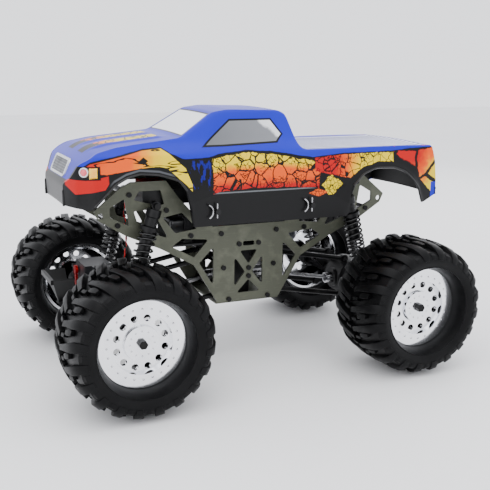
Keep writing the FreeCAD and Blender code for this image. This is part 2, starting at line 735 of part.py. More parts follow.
def steering_ends():
    """The forked ends of the front axle that hold the kingpins."""
    parts = []
    for hand in (1, -1):
        wall = sorted((hand * 84, hand * 87.5))
        ear = sorted((hand * 86, hand * 106))
        parts.append(box((AXLE_X - 8, wall[0], AXLE_Z - 21), (AXLE_X + 8, wall[1], AXLE_Z + 21)))
        for low, high in ((AXLE_Z + 17, AXLE_Z + 21), (AXLE_Z - 21, AXLE_Z - 17)):
            parts.append(box((AXLE_X - 8, ear[0], low), (AXLE_X + 8, ear[1], high)))
    return parts


def bearing_ends():
    """The flanged ends of the rear axle tubes, where the wheel bearings sit."""
    return [cross_bar(-AXLE_X, AXLE_Z, min(hand * 98, hand * 112.5), max(hand * 98, hand * 112.5),
                      11) for hand in (1, -1)]


def knuckle(label, hand):
    """A steering knuckle: trunnions in the fork, a bearing boss and a forward steering arm."""
    y = hand * KINGPIN_Y
    outward = Vector(0, hand, 0)
    body = cylinder(Vector(AXLE_X, y, AXLE_Z - 16.6), Z_AXIS, 33.2, 8)
    pins = cylinder(Vector(AXLE_X, y, AXLE_Z - 20.5), Z_AXIS, 41, sized("pin_radius"))
    boss = cylinder(Vector(AXLE_X, hand * 95, AXLE_Z), outward, 18, 11)
    arm_low = sorted((hand * (KINGPIN_Y - 5), hand * (KINGPIN_Y + 5)))
    arm = box((AXLE_X + 6, arm_low[0], AXLE_Z - 2), (STEER_PIN_X, arm_low[1], AXLE_Z + 2))
    arm_end = cylinder(Vector(STEER_PIN_X, y, AXLE_Z - 2), Z_AXIS, 4, 5)
    steer_pin = cylinder(Vector(STEER_PIN_X, y, AXLE_Z - 9), Z_AXIS, 18, 1.5)
    pocket = cylinder(Vector(AXLE_X, hand * 88, AXLE_Z), outward, 19.5, 7.3)
    bore = cylinder(Vector(AXLE_X, hand * 88, AXLE_Z), outward, 40, SIZE["axle_shaft_radius"] + FIT)
    node(cut(fuse([body, pins, boss, arm, arm_end, steer_pin]), [pocket, bore]), label)


def stub_axle(label, hand):
    """The wheel's own short axle: a drive cup, the shaft, the driving hexagon and the nut."""
    outward = Vector(0, hand, 0)
    cup = drive_cup(Vector(AXLE_X, hand * 107, AXLE_Z), -outward, 11)
    shaft = cylinder(Vector(AXLE_X, hand * 106, AXLE_Z), outward, 50, sized("axle_shaft_radius"))
    node(group([fuse([cup, shaft])] + wheel_hardware(AXLE_X, hand)), label)


def wheel_hardware(x, hand):
    """The driving hexagon inside the wheel and the nut outside it."""
    pieces = []
    for start, length, radius in ((114, 5.5, 6.9), (151.2, 5, 4.6)):
        prism_obj = doc.addObject("Part::Prism", "Hexagon")
        prism_obj.Polygon = 6
        prism_obj.Circumradius = radius
        prism_obj.Height = length
        prism_obj.Placement = Placement(Vector(x, hand * start, AXLE_Z),
                                        Rotation(Z_AXIS, Vector(0, hand, 0)))
        shaft = cylinder(Vector(x, hand * (start - 1), AXLE_Z), Vector(0, hand, 0), length + 2,
                         sized("axle_shaft_radius"))
        pieces.append(cut(prism_obj, [shaft]))
    return pieces


def front_axle_shafts():
    """Two half shafts from the ring gear's hub to the kingpins, each ending in a ball."""
    shafts = []
    for hand in (1, -1):
        outward = Vector(0, hand, 0)
        inner = cylinder(Vector(AXLE_X, 0, AXLE_Z), outward, 80, sized("axle_shaft_radius"))
        outer = cylinder(Vector(AXLE_X, hand * 79, AXLE_Z), outward, 21, sized("driveshaft_radius"))
        centre = Vector(AXLE_X, hand * KINGPIN_Y, AXLE_Z)
        pin = cylinder(centre - Z_AXIS * 6.2, Z_AXIS, 12.4, 1.2)
        shafts += [inner, outer, ball(centre, sized("ball_radius")), pin]
    node(fuse(shafts), "front_axle_shafts")


HORN = Vector(181.5, -18, 110.5)


def steering_linkage():
    """Servo, horn, drag link and tie rod; the horn is as long as the knuckle's arm."""
    case = box((150, -28, 100.5), (180, 12, 120.5))
    lugs = box((170, -34, 100.5), (172.5, 18, 120.5))
    spline = cylinder(Vector(180, HORN.y, HORN.z), X_AXIS, 1.4, 3)
    node(fuse([case, lugs, spline]), "steering_servo")
    reach = SIZE["steer_arm"]
    hub = cylinder(HORN, X_AXIS, 3, 5)
    arm = box((HORN.x, HORN.y - 2.5, HORN.z - reach), (HORN.x + 2.5, HORN.y + 2.5, HORN.z))
    tip = cylinder(HORN - Z_AXIS * reach, X_AXIS, 2.5, 3.2)
    pin = cylinder(HORN - Z_AXIS * reach, X_AXIS, 9, 1.5)
    node(fuse([hub, arm, tip, pin]), "servo_horn")
    drag_link(Vector(STEER_PIN_X, KINGPIN_Y, 80.5), HORN + Vector(6.5, 0, -reach))
    tie_rod(Vector(STEER_PIN_X, KINGPIN_Y, 69.5), Vector(STEER_PIN_X, -KINGPIN_Y, 69.5))


def drag_link(first, last):
    """From the left steering arm to the horn; the eye on the horn is the open pivot."""
    along = (last - first).normalize()
    rod = cylinder(first + along * 4, along, (last - first).Length - 8, 2)
    eyes = [cylinder(first - Z_AXIS * 2.8, Z_AXIS, 5.6, 4.5),
            cylinder(last - X_AXIS * 2, X_AXIS, 4, 5.2)]
    bores = [cylinder(first - Z_AXIS * 5, Z_AXIS, 10, 1.5 + FIT),
             cylinder(last - X_AXIS * 5, X_AXIS, 10, 3.4)]
    node(cut(fuse([rod] + eyes), bores), "drag_link")


def tie_rod(first, last):
    """From knuckle to knuckle; the eye on the right is the open pivot."""
    along = (last - first).normalize()
    rod = cylinder(first + along * 4, along, (last - first).Length - 8, 2.2)
    eyes = [cylinder(point - Z_AXIS * 2.8, Z_AXIS, 5.6, 4.5) for point in (first, last)]
    bores = [cylinder(first - Z_AXIS * 5, Z_AXIS, 10, 1.5 + FIT),
             cylinder(last - Z_AXIS * 5, Z_AXIS, 10, 1.9)]
    node(cut(fuse([rod] + eyes), bores), "tie_rod")


# ---------------------------------------------------------------- wheels

# Half of a tyre's section: (share of the radius, share of the width), crown to bead, then inside.
TYRE_OUTSIDE = [(1, 0), (0.99, 0.25), (0.955, 0.40), (0.90, 0.47), (0.78, 0.50), (0.66, 0.47),
                (0.605, 0.34), (0.594, 0.208)]
TYRE_INSIDE = [(0.536, 0.208), (0.536, 0.15), (0.62, 0.17), (0.65, 0.36), (0.78, 0.45),
               (0.88, 0.42), (0.93, 0.20)]


def tyre(x, hand):
    """A hollow tyre; its crown is at the outside of the tread."""
    radius = SIZE["tyre_radius"]
    width = SIZE["tyre_width"]
    loop = [(radius * r, width * w) for r, w in TYRE_OUTSIDE + TYRE_INSIDE]
    loop.append((radius - SIZE["tyre_wall"], 0))
    mirrored = [(r, -a) for r, a in reversed(loop[1:-1])]
    return turned(loop + mirrored, Vector(x, hand * WHEEL_Y, AXLE_Z), Vector(0, hand, 0))


def rim(x, hand):
    """A dished rim: barrel, raised bead ring, groove with twelve windows, and hub disc."""
    outer = SIZE["rim_radius"]
    half = SIZE["rim_width"] / 2
    barrel = outer - 4
    inside = barrel - SIZE["rim_wall"]
    bore = SIZE["axle_shaft_radius"] + FIT
    profile = [
        (bore, -8), (9, -8), (9, 13), (17.5, 15), (inside, 14), (inside, 4 - half),
        (outer - 3.5, -half), (outer - 0.5, -half), (outer - 0.5, 3 - half), (barrel, 5 - half),
        (barrel, half - 5), (outer, half - 3), (outer, half), (30.5, half), (29.5, half - 6),
        (18.5, half - 6), (17.5, half - 2), (bore, half - 2),
    ]
    body = turned(profile, Vector(x, hand * WHEEL_Y, AXLE_Z), Vector(0, hand, 0))
    holes = []
    for i in range(12):
        angle = 2 * math.pi * (i + 0.5) / 12
        reach = SIZE["rim_hole_circle"]
        start = Vector(x + reach * math.cos(angle), hand * (WHEEL_Y + 8),
                       AXLE_Z + reach * math.sin(angle))
        holes.append(cylinder(start, Vector(0, hand, 0), 20, sized("rim_hole")))
    return cut(body, holes)


def wheels():
    node(tyre(AXLE_X, 1), "front_tyre_left")
    node(tyre(AXLE_X, -1), "front_tyre_right")
    node(rim(AXLE_X, 1), "front_rim_left")
    node(rim(AXLE_X, -1), "front_rim_right")
    node(group([tyre(-AXLE_X, 1), tyre(-AXLE_X, -1)]), "rear_tyres")
    node(group([rim(-AXLE_X, 1), rim(-AXLE_X, -1)]), "rear_rims")


def rear_axle_shaft():
    bar = cross_bar(-AXLE_X, AXLE_Z, -156, 156, sized("axle_shaft_radius"))
    hardware = wheel_hardware(-AXLE_X, 1) + wheel_hardware(-AXLE_X, -1)
    node(group([bar] + hardware), "rear_axle_shaft")


# ---------------------------------------------------------------- shock absorbers

def shocks(end, side):
    """Two coil-over shock absorbers: cylinder, rod with its piston, and spring."""
    bodies, rods, springs = [], [], []
    for hand in (1, -1):
        y = hand * SIZE["shock_y"]
        top = Vector(side * SHOCK_TOP_X[side], y, SIZE["shock_top_z"])
        bottom = Vector(side * SHOCK_BOTTOM_X[side], y, SIZE["shock_bottom_z"])
        down = (bottom - top).normalize()
        length = (bottom - top).Length
        bodies.append(shock_body(top, down))
        rods.append(shock_rod(top, down, length))
        inner, outer = SIZE["spring_inside"], SIZE["spring_radius"]
        first, last = 27.3, length - 12.3
        springs.append(turned([(inner, first), (outer, first), (outer, last), (inner, last)],
                              top, down))
    node(group(bodies), end + "_shock_bodies")
    node(group(rods), end + "_shock_rods")
    node(group(springs), end + "_springs")


def shock_body(top, down):
    """A cylinder with an eye on top, an adjusting collar and a sealed bottom cap."""
    eye = cylinder(top - Y_AXIS * 4, Y_AXIS, 8, 5)
    wall, bore, seat = SIZE["shock_body_radius"], SIZE["shock_bore"], SIZE["spring_seat"]
    tube = turned([(0, 4), (8, 4), (8, 12), (wall, 13), (wall, 22), (seat, 23), (seat, 27),
                   (wall, 27), (wall, 54), (6.4, 57), (2.6, 57), (2.6, 54), (bore, 54),
                   (bore, 10), (0, 10)], top, down)
    pin_hole = cylinder(top - Y_AXIS * 6, Y_AXIS, 12, PIN + FIT)
    return cut(fuse([eye, tube]), [pin_hole])


def shock_rod(top, down, length):
    """The piston rod, its lower spring cup and the eye that hangs on the axle."""
    stem, seat = SIZE["shock_rod_radius"], SIZE["spring_seat"]
    rod = turned([(0, 50), (5, 50), (5, 52.5), (stem, 52.5), (stem, length - 12),
                  (seat, length - 12), (seat, length - 9.5), (3.5, length - 7),
                  (3.5, length - 3), (0, length - 3)], top, down)
    bottom = top + down * length
    eye = cylinder(bottom - Y_AXIS * 3.4, Y_AXIS, 6.8, 4.8)
    hole = cylinder(bottom - Y_AXIS * 6, Y_AXIS, 12, PIN + FIT)
    return cut(fuse([rod, eye]), [hole])


def facet(points, thickness):
    """A flat plate from a corner list, thickened along its normal."""
    normal = (points[1] - points[0]).cross(points[2] - points[0]).normalize()
    return prism(points, normal, thickness)


def axle_guard():
    """The bow-shaped guard in front of the front axle: two sloping sides, a front and a tongue."""
    half, rim_z, rear_x, front_x = 25, 111, 194, 218
    keel_front = Vector(207, 0, 80)
    keel_rear = Vector(rear_x, 0, 80)
    solids = []
    for hand in (1, -1):
        corners = [Vector(front_x, hand * half, rim_z), Vector(rear_x, hand * half, rim_z),
                   keel_rear, keel_front]
        solids.append(facet(corners if hand > 0 else corners[::-1], 2.0))
    front = [Vector(front_x, half, rim_z), keel_front, Vector(front_x, -half, rim_z)]
    solids.append(facet(front, 2.0))
    lip = Part.makeBox(3, 2 * half, 5, Vector(front_x - 1, -half, rim_z - 4))
    tongue = prism([Vector(x, -6, z) for x, z in ((152, 47), (186, 47), (209, 80), (196, 84),
                                                  (183, 51), (152, 51))], Y_AXIS, 12)
    node(feature(solids[0].fuse(solids[1:] + [lip, tongue])), "axle_guard")


# Route of the steering servo's lead, from the speed controller down to the servo.
LEAD_ROUTE = [(122.2, 14, 196), (132.5, 14, 195), (136, 13.5, 181), (134, 13, 163), (133, 12.5, 145),
              (135, 11.5, 129), (140.5, 10, 117), (148.8, 8, 111)]


def servo_wire():
    """A limp lead: straight runs joined by arcs as large as the runs allow."""
    points = [Vector(*p) for p in LEAD_ROUTE]
    edges = []
    start = points[0]
    for before, corner, after in zip(points, points[1:], points[2:]):
        back = (before - corner).normalize()
        ahead = (after - corner).normalize()
        reach = 0.45 * min((before - corner).Length, (after - corner).Length)
        half = back.getAngle(ahead) / 2
        radius = reach * math.tan(half)
        print("lead radius %.1f" % radius)
        first = corner + back * reach
        last = corner + ahead * reach
        middle = corner + (back + ahead).normalize() * (radius / math.sin(half) - radius)
        edges.append(Part.LineSegment(start, first).toShape())
        edges.append(Part.Arc(first, middle, last).toShape())
        start = last
    edges.append(Part.LineSegment(start, points[-1]).toShape())
    path = Part.Wire(edges)
    circle = Part.Circle(points[0], points[1] - points[0], SIZE["wire_radius"]).toShape()
    tube = path.makePipeShell([Part.Wire([circle])], True, True)
    share = tube.Volume / (math.pi * SIZE["wire_radius"] ** 2 * path.Length)
    print("lead length %.1f, volume share %.3f" % (path.Length, share))
    node(feature(tube), "servo_wire")


def export_all():
    doc.recompute()
    bad = [o.Name for o in doc.Objects if set(o.State) & {"Invalid", "Error"}]
    if bad:
        raise RuntimeError("objects that failed: %s" % bad)
    os.makedirs("parts", exist_ok=True)
    for obj in NODES:
        shape = obj.Shape
        if shape.isNull() or not shape.isValid() or not shape.Solids:
            raise RuntimeError("bad shape in %s" % obj.Label)
        shape.exportStep(os.path.join("parts", obj.Label + ".step"))
    print(len(NODES), "sub-parts written")


def main():
    chassis_plate("chassis_plate_left", PLATE_IN)
    chassis_plate("chassis_plate_right", -PLATE_OUT)
    skid_plate()
    cross_posts()
    plate_screws()
    gearbox()
    motor()
    gear_train()
    battery_and_electronics()
    body_mounts()
    body_shell()
    for end, side in (("front", 1), ("rear", -1)):
        links(end, side)
        driveshaft(end, side)
        axle_pinion(end, side)
        axle_cover(end, side)
        shocks(end, side)
    ring_gear(AXLE_X, 1, "front_ring_gear")
    ring_gear(-AXLE_X, -1, "rear_ring_gear")
    axle_housing("front", 1, 86, steering_ends())
    axle_housing("rear", -1, 98, bearing_ends())
    for label, hand in (("left", 1), ("right", -1)):
        knuckle("knuckle_" + label, hand)
        stub_axle("stub_axle_" + label, hand)
    front_axle_shafts()
    rear_axle_shaft()
    steering_linkage()
    wheels()
    axle_guard()
    servo_wire()
    export_all()


main()
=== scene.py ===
"""Monster truck with two solid axles, one tenth scale: its looks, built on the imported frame."""
import json
import math

import bpy
import bmesh
import numpy as np
from mathutils import Matrix, Vector


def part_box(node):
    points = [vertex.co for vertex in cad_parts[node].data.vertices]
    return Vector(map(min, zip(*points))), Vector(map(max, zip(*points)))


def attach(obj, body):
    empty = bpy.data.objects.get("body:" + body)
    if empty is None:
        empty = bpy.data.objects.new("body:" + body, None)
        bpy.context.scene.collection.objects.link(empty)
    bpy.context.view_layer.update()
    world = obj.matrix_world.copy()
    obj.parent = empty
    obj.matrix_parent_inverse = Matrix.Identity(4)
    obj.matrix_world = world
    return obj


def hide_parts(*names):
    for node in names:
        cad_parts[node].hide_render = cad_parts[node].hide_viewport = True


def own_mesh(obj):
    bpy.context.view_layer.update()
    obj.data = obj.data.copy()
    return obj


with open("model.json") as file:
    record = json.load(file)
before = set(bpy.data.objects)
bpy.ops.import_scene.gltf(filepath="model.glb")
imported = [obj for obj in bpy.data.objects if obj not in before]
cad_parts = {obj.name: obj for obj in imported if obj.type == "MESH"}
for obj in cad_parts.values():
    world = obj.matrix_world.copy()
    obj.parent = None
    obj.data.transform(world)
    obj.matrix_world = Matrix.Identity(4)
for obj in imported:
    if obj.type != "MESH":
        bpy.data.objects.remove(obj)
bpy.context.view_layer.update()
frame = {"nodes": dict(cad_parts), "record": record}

bl_info = {
    "name": "Monster Truck Looks",
    "version": (1, 0, 0),
    "blender": (4, 5, 0),
    "location": "View3D > Sidebar > Truck",
    "description": "Painted shell, lugged tyres, coil springs and finishes of a model truck",
    "category": "Object",
}

MM = 0.001
TURN = 2 * math.pi

# Centre-line outline of the shell, nose to tail, and its half widths by height and by length (mm).
SPINE = [(207, 195), (208, 218), (203, 223), (196, 239), (178, 250), (156, 254.5), (104, 260),
         (86, 262), (46, 287), (27, 289.5), (-33, 288), (-41, 284), (-51, 250), (-56, 246.5),
         (-225, 246.5), (-231, 228), (-234, 205), (-234, 187)]
HALF_BY_HEIGHT = [(160, 77), (205, 77), (246, 71), (251, 64), (257, 59), (289, 46), (292, 40)]
HALF_BY_LENGTH = [(-236, 70), (-200, 76), (-130, 77), (-80, 75), (60, 75), (150, 77), (184, 74),
                  (198, 62), (204, 52), (208, 43)]
SILL = [(-234, 186), (-216, 178), (-107, 168), (76, 168), (176, 191), (206, 195)]
FRONT_ARCH = [(76, 160), (86, 208), (94, 219), (115, 225.6), (136, 227.5), (150, 224),
              (163, 217), (183, 196), (215, 160)]
REAR_ARCH = [(-219, 160), (-206, 195), (-197, 206), (-185, 216), (-170, 221.5), (-146, 222),
             (-129, 216), (-115.5, 203), (-108, 160)]
SIDE_WINDOW = [(65, 251), (28, 279), (-22, 279), (-34, 262), (-25, 253), (40, 251)]

AXLE_X, AXLE_Z, WHEEL_Y = 160.0, 75.0, 128.0
TYRE_RADIUS, TYRE_HALF = 75.0, 47.0

# Painted shade in a rim's hollow: its radius, and how far past the wheel's middle it goes (mm).
SHADED_HOLLOW_RADIUS, SHADED_HOLLOW_REACH = 38.4, 14.5

# Places that the shell's shape and its paint share (mm): the ribbed bed cover, and the windscreen,
# whose half width shrinks with height.
BED_REAR, BED_FRONT, BED_HALF, RIB_PITCH = -219, -62, 62, 9
SCREEN_REAR, SCREEN_FRONT, SCREEN_HALF, SCREEN_TAPER = 50, 82, 155.5, 0.4

# How far the shell's details stand in or out (mm).
WINDOW_DEPTH, SCREEN_DEPTH, SILL_DEPTH, ARCH_SWELL, BONNET_RISE = 1.4, 1.2, 1.6, 1.2, 1.6


# ------------------------------------------------------------------ meshes

def grid_faces(rows, columns, join_rows=False, join_columns=False):
    """Four-cornered faces between neighbours of a grid; a joined side meets its first line."""
    row = np.arange(rows if join_rows else rows - 1)[:, None]
    column = np.arange(columns if join_columns else columns - 1)[None, :]
    beside, below = (column + 1) % columns, ((row + 1) % rows) * columns
    here = row * columns
    corners = [here + column, here + beside, below + beside, below + column]
    return np.stack(np.broadcast_arrays(*corners), -1).reshape(-1, 4)


def add_piece(name, surfaces, body, materials, smooth_angle=40, instead_of=()):
    """One mesh from grids of points (mm): each is (points, join_rows, join_columns, material).

    Points that meet are merged, faces are turned outwards and the piece rides on its body."""
    points, faces, finish, start = [], [], [], 0
    for grid, join_rows, join_columns, index in surfaces:
        stack = grid.reshape((-1,) + grid.shape[-3:])
        quads = grid_faces(stack.shape[1], stack.shape[2], join_rows, join_columns)
        size = stack.shape[1] * stack.shape[2]
        shift = start + size * np.arange(len(stack))[:, None, None]
        faces.append((quads[None] + shift).reshape(-1, 4))
        finish.append(np.full(len(faces[-1]), index))
        points.append(stack.reshape(-1, 3))
        start += size * len(stack)
    mesh = bpy.data.meshes.new(name)
    mesh.from_pydata(np.concatenate(points) * MM, [], np.concatenate(faces))
    mesh.polygons.foreach_set("material_index", np.concatenate(finish).astype(np.int32))
    work = bmesh.new()
    work.from_mesh(mesh)
    bmesh.ops.remove_doubles(work, verts=work.verts, dist=0.02 * MM)
    bmesh.ops.dissolve_degenerate(work, edges=work.edges, dist=0.01 * MM)
    bmesh.ops.recalc_face_normals(work, faces=work.faces)
    work.to_mesh(mesh)
    work.free()
    mesh.shade_smooth()
    mesh.set_sharp_from_angle(angle=math.radians(smooth_angle))
    for material in materials:
        mesh.materials.append(material)
    piece = bpy.data.objects.new(name, mesh)
    bpy.context.scene.collection.objects.link(piece)
    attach(piece, body)
    if instead_of:
        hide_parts(*instead_of)
    return piece


def unit(vectors):
    """Each vector divided by its length."""
    vectors = np.array(vectors, float)
    return vectors / np.linalg.norm(vectors, axis=-1, keepdims=True)


def around(steps):
    """Angles at equal steps round one circle."""
    return np.arange(steps) * (TURN / steps)


def distances(line):
    """How far along a line each of its points is."""
    return np.append(0, np.cumsum(np.linalg.norm(np.diff(line, axis=0), axis=1)))


def resampled(line, count):
    """The same line as a number of points at equal distances."""
    run = distances(line)
    place = np.linspace(0, run[-1], count)
    return np.stack([np.interp(place, run, part) for part in line.T], 1)


def frame_of(direction):
    """A direction's unit vector, and two more square to it and to each other."""
    along = unit(direction)
    first = unit(np.cross(along, (0, 0, 1) if abs(along[2]) < 0.9 else (1, 0, 0)))
    return along, first, np.cross(along, first)


def revolve(profile, centre, direction, steps):
    """Surface of revolution: each profile point (radius, distance) goes round the axis once."""
    along, first, second = frame_of(direction)
    radius, reach = np.array(profile, float).T
    turn = around(steps)[None, :, None]
    ring = np.cos(turn) * first + np.sin(turn) * second
    return np.array(centre, float) + radius[:, None, None] * ring + reach[:, None, None] * along


def swept(line, across, up, radius, sides=8):
    """A round bar: each point of a line carries a circle in the plane of its across and up
    vectors, and both ends close to a point."""
    turn = around(sides)[None, :, None]
    body = line[:, None] + radius * (across[:, None] * np.cos(turn) + up[:, None] * np.sin(turn))
    first, last = (np.repeat(point[None, None], sides, 1) for point in (line[0], line[-1]))
    return np.concatenate([first, body, last])


def tube(line, radius):
    """A round bar along a line, each circle square to the line's direction."""
    ahead = unit(np.gradient(line, axis=0))
    across = unit(np.cross(ahead, np.array([0.0, 1.0, 0.0]) + 0.01 * ahead[0]))
    return swept(line, across, np.cross(across, ahead), radius)


def bent(value, points):
    """Straight lines through the given points, read at value."""
    known = np.array(points, float)
    return np.interp(value, known[:, 0], known[:, 1])


def smooth_rise(value, width):
    """From 0 at zero to 1 at width, level at both ends."""
    share = np.clip(value / width, 0, 1)
    return share * share * (3 - 2 * share)


def outline_edges(corners):
    """A convex outline's corners, and for the edge after each its unit normal, inwards."""
    corners = np.array(corners, float)
    edge = np.roll(corners, -1, 0) - corners
    area = np.sum(corners[:, 0] * edge[:, 1] - edge[:, 0] * corners[:, 1])
    return corners, unit(np.stack([-edge[:, 1], edge[:, 0]], 1) * np.sign(area))


def depth_inside(x, z, corners):
    """How far points lie inside a convex outline: the least distance to its edges."""
    corners, inward = outline_edges(corners)
    reach = ((x[..., None] - corners[:, 0]) * inward[:, 0]
             + (z[..., None] - corners[:, 1]) * inward[:, 1])
    return reach.min(-1)


# ------------------------------------------------------------------ materials

def colour(red, green, blue):
    """A screen colour from 0 to 255 as the linear colour that shaders use."""
    shares = [value / 255 for value in (red, green, blue)]
    return [((share + 0.055) / 1.055) ** 2.4 if share > 0.0404 else share / 12.92
            for share in shares] + [1.0]


class Field:
    """A number that varies over a surface. Arithmetic on it adds shader nodes."""

    def __init__(self, tree, socket):
        self.tree, self.socket = tree, socket

    def op(self, operation, *others, clamp=False):
        """A Math node: this field first, then the others, fields or plain numbers."""
        node = self.tree.nodes.new("ShaderNodeMath")
        node.operation, node.use_clamp = operation, clamp
        self.tree.links.new(self.socket, node.inputs[0])
        for slot, other in zip(node.inputs[1:], others):
            if isinstance(other, Field):
                self.tree.links.new(other.socket, slot)
            else:
                slot.default_value = other
        return Field(self.tree, node.outputs[0])

    def __add__(self, other):
        return self.op("ADD", other)

    def __sub__(self, other):
        return self.op("SUBTRACT", other)

    def __mul__(self, other):
        return self.op("MULTIPLY", other)

    def both(self, other):
        """Where two masks overlap."""
        return self.op("MINIMUM", other)

    def either(self, other):
        """Where at least one of two masks is."""
        return self.op("MAXIMUM", other)

    def size(self):
        """The field without its sign."""
        return self.op("ABSOLUTE")

    def above(self, level, soft=0.5):
        """1 where the field is over the level, 0 under it, with a short slope between."""
        return (self - level).op("MULTIPLY_ADD", 1 / soft, 0.5, clamp=True)

    def below(self, level, soft=0.5):
        """1 where the field is under the level, 0 over it, with a short slope between."""
        return (self - level).op("MULTIPLY_ADD", -1 / soft, 0.5, clamp=True)

    def between(self, low, high, soft=0.5):
        """1 from one level to another, 0 elsewhere."""
        return self.above(low, soft).both(self.below(high, soft))

    def bent(self, points):
        """Straight lines through the given points, rising in their first number."""
        known = np.array(points, float)
        low, high = known.min(0), known.max(0)
        spread = high - low
        node = self.tree.nodes.new("ShaderNodeFloatCurve")
        line = node.mapping.curves[0]
        shares = (known - low) / spread
        for _ in range(len(shares) - len(line.points)):
            line.points.new(0.5, 0.5)
        for point, share in zip(line.points, shares):
            point.location = share
            point.handle_type = "VECTOR"
        node.mapping.update()
        scaled = (self - float(low[0])) * float(1 / spread[0])
        self.tree.links.new(scaled.socket, node.inputs["Value"])
        return Field(self.tree, node.outputs[0]) * float(spread[1]) + float(low[1])


class Finish:
    """A material under construction: object coordinates in mm, textures, layers of colour."""

    def __init__(self, name):
        self.material = bpy.data.materials.new(name)
        self.material.use_nodes = True
        self.tree = self.material.node_tree
        self.shader = self.tree.nodes["Principled BSDF"]
        place = self.tree.nodes.new("ShaderNodeTexCoord")
        split = self.tree.nodes.new("ShaderNodeSeparateXYZ")
        self.place = place.outputs["Object"]
        self.tree.links.new(self.place, split.inputs[0])
        self.x, self.y, self.z = [Field(self.tree, part) * (1 / MM) for part in split.outputs]
        self.tint = None

    def vector(self, x, y, z):
        """Three fields or numbers as one vector."""
        node = self.tree.nodes.new("ShaderNodeCombineXYZ")
        for slot, value in zip(node.inputs, (x, y, z)):
            if isinstance(value, Field):
                self.tree.links.new(value.socket, slot)
            else:
                slot.default_value = value
        return node.outputs[0]

    def stretched(self, scale):
        """Object coordinates times a scale on each axis."""
        node = self.tree.nodes.new("ShaderNodeMapping")
        node.inputs["Scale"].default_value = scale
        self.tree.links.new(self.place, node.inputs["Vector"])
        return node.outputs[0]

    def noise(self, scale, detail=3.0, at=None):
        """Smooth noise from 0 to 1, with scale waves in a metre."""
        node = self.tree.nodes.new("ShaderNodeTexNoise")
        node.inputs["Scale"].default_value = scale
        node.inputs["Detail"].default_value = detail
        node.inputs["Roughness"].default_value = 0.55
        self.tree.links.new(at or self.place, node.inputs["Vector"])
        return Field(self.tree, node.outputs[0])

    def cells(self, scale, at):
        """Random cells: the distance to the nearest border between two of them."""
        node = self.tree.nodes.new("ShaderNodeTexVoronoi")
        node.feature = "DISTANCE_TO_EDGE"
        node.inputs["Scale"].default_value = scale
        self.tree.links.new(at, node.inputs["Vector"])
        return Field(self.tree, node.outputs["Distance"])

    def ramp(self, field, stops):
        """Colour by a field, through (value, colour) stops, in one ramp node."""
        low, high = stops[0][0], stops[-1][0]
        node = self.tree.nodes.new("ShaderNodeValToRGB")
        while len(node.color_ramp.elements) < len(stops):
            node.color_ramp.elements.new(0.5)
        for element, (value, tint) in zip(node.color_ramp.elements, stops):
            element.position = (value - low) / (high - low)
            element.color = tint
        scaled = (field - low) * (1 / (high - low))
        self.tree.links.new(scaled.socket, node.inputs[0])
        return node.outputs["Color"]

    def layer(self, tint, *masks):
        """Lays a colour over what is there, where all the masks are 1."""
        if not masks:
            self.tint = tint
            return self
        mask = masks[0]
        for other in masks[1:]:
            mask = mask.both(other)
        node = self.tree.nodes.new("ShaderNodeMix")
        node.data_type = "RGBA"
        self.tree.links.new(mask.socket, node.inputs[0])
        for slot, value in ((node.inputs[6], self.tint), (node.inputs[7], tint)):
            if isinstance(value, bpy.types.NodeSocket):
                self.tree.links.new(value, slot)
            else:
                slot.default_value = value
        self.tint = node.outputs[2]
        return self

    def done(self, roughness, metallic=0.0, coat=0.0, bump=None, depth=0.1, rough_field=None,
             specular=0.5):
        """Connects colour, gloss and relief (depth in mm) to the shader; gives the material."""
        if isinstance(self.tint, bpy.types.NodeSocket):
            self.tree.links.new(self.tint, self.shader.inputs["Base Color"])
        else:
            self.shader.inputs["Base Color"].default_value = self.tint
        for socket, value in (("Metallic", metallic), ("Roughness", roughness),
                              ("Coat Weight", coat), ("Coat Roughness", 0.06),
                              ("Specular IOR Level", specular)):
            self.shader.inputs[socket].default_value = value
        if rough_field is not None:
            self.tree.links.new(rough_field.socket, self.shader.inputs["Roughness"])
        if bump is not None:
            node = self.tree.nodes.new("ShaderNodeBump")
            node.inputs["Strength"].default_value = 0.6
            node.inputs["Distance"].default_value = depth * MM
            self.tree.links.new(bump.socket, node.inputs["Height"])
            self.tree.links.new(node.outputs["Normal"], self.shader.inputs["Normal"])
        return self.material


def plain_finish(name, main, worn, roughness, metallic=0.0, grain=900.0, depth=0.05, stretch=None,
                 coat=0.0, patch=60.0, specular=0.3):
    """Colour drifting between two tones (0 to 255), with a fine grain in both gloss and relief."""
    make = Finish(name)
    main, worn = colour(*main), colour(*worn)
    at = make.stretched(stretch) if stretch else None
    fine = make.noise(grain, 2.0, at)
    broad = make.noise(patch, 4.0)
    make.layer(main).layer(worn, broad.above(0.62, 0.25))
    make.layer(worn, fine.above(0.68, 0.2) * 0.5)
    gloss = (broad * 0.18) + (roughness - 0.09)
    return make.done(roughness, metallic, coat, fine, depth, gloss, specular)


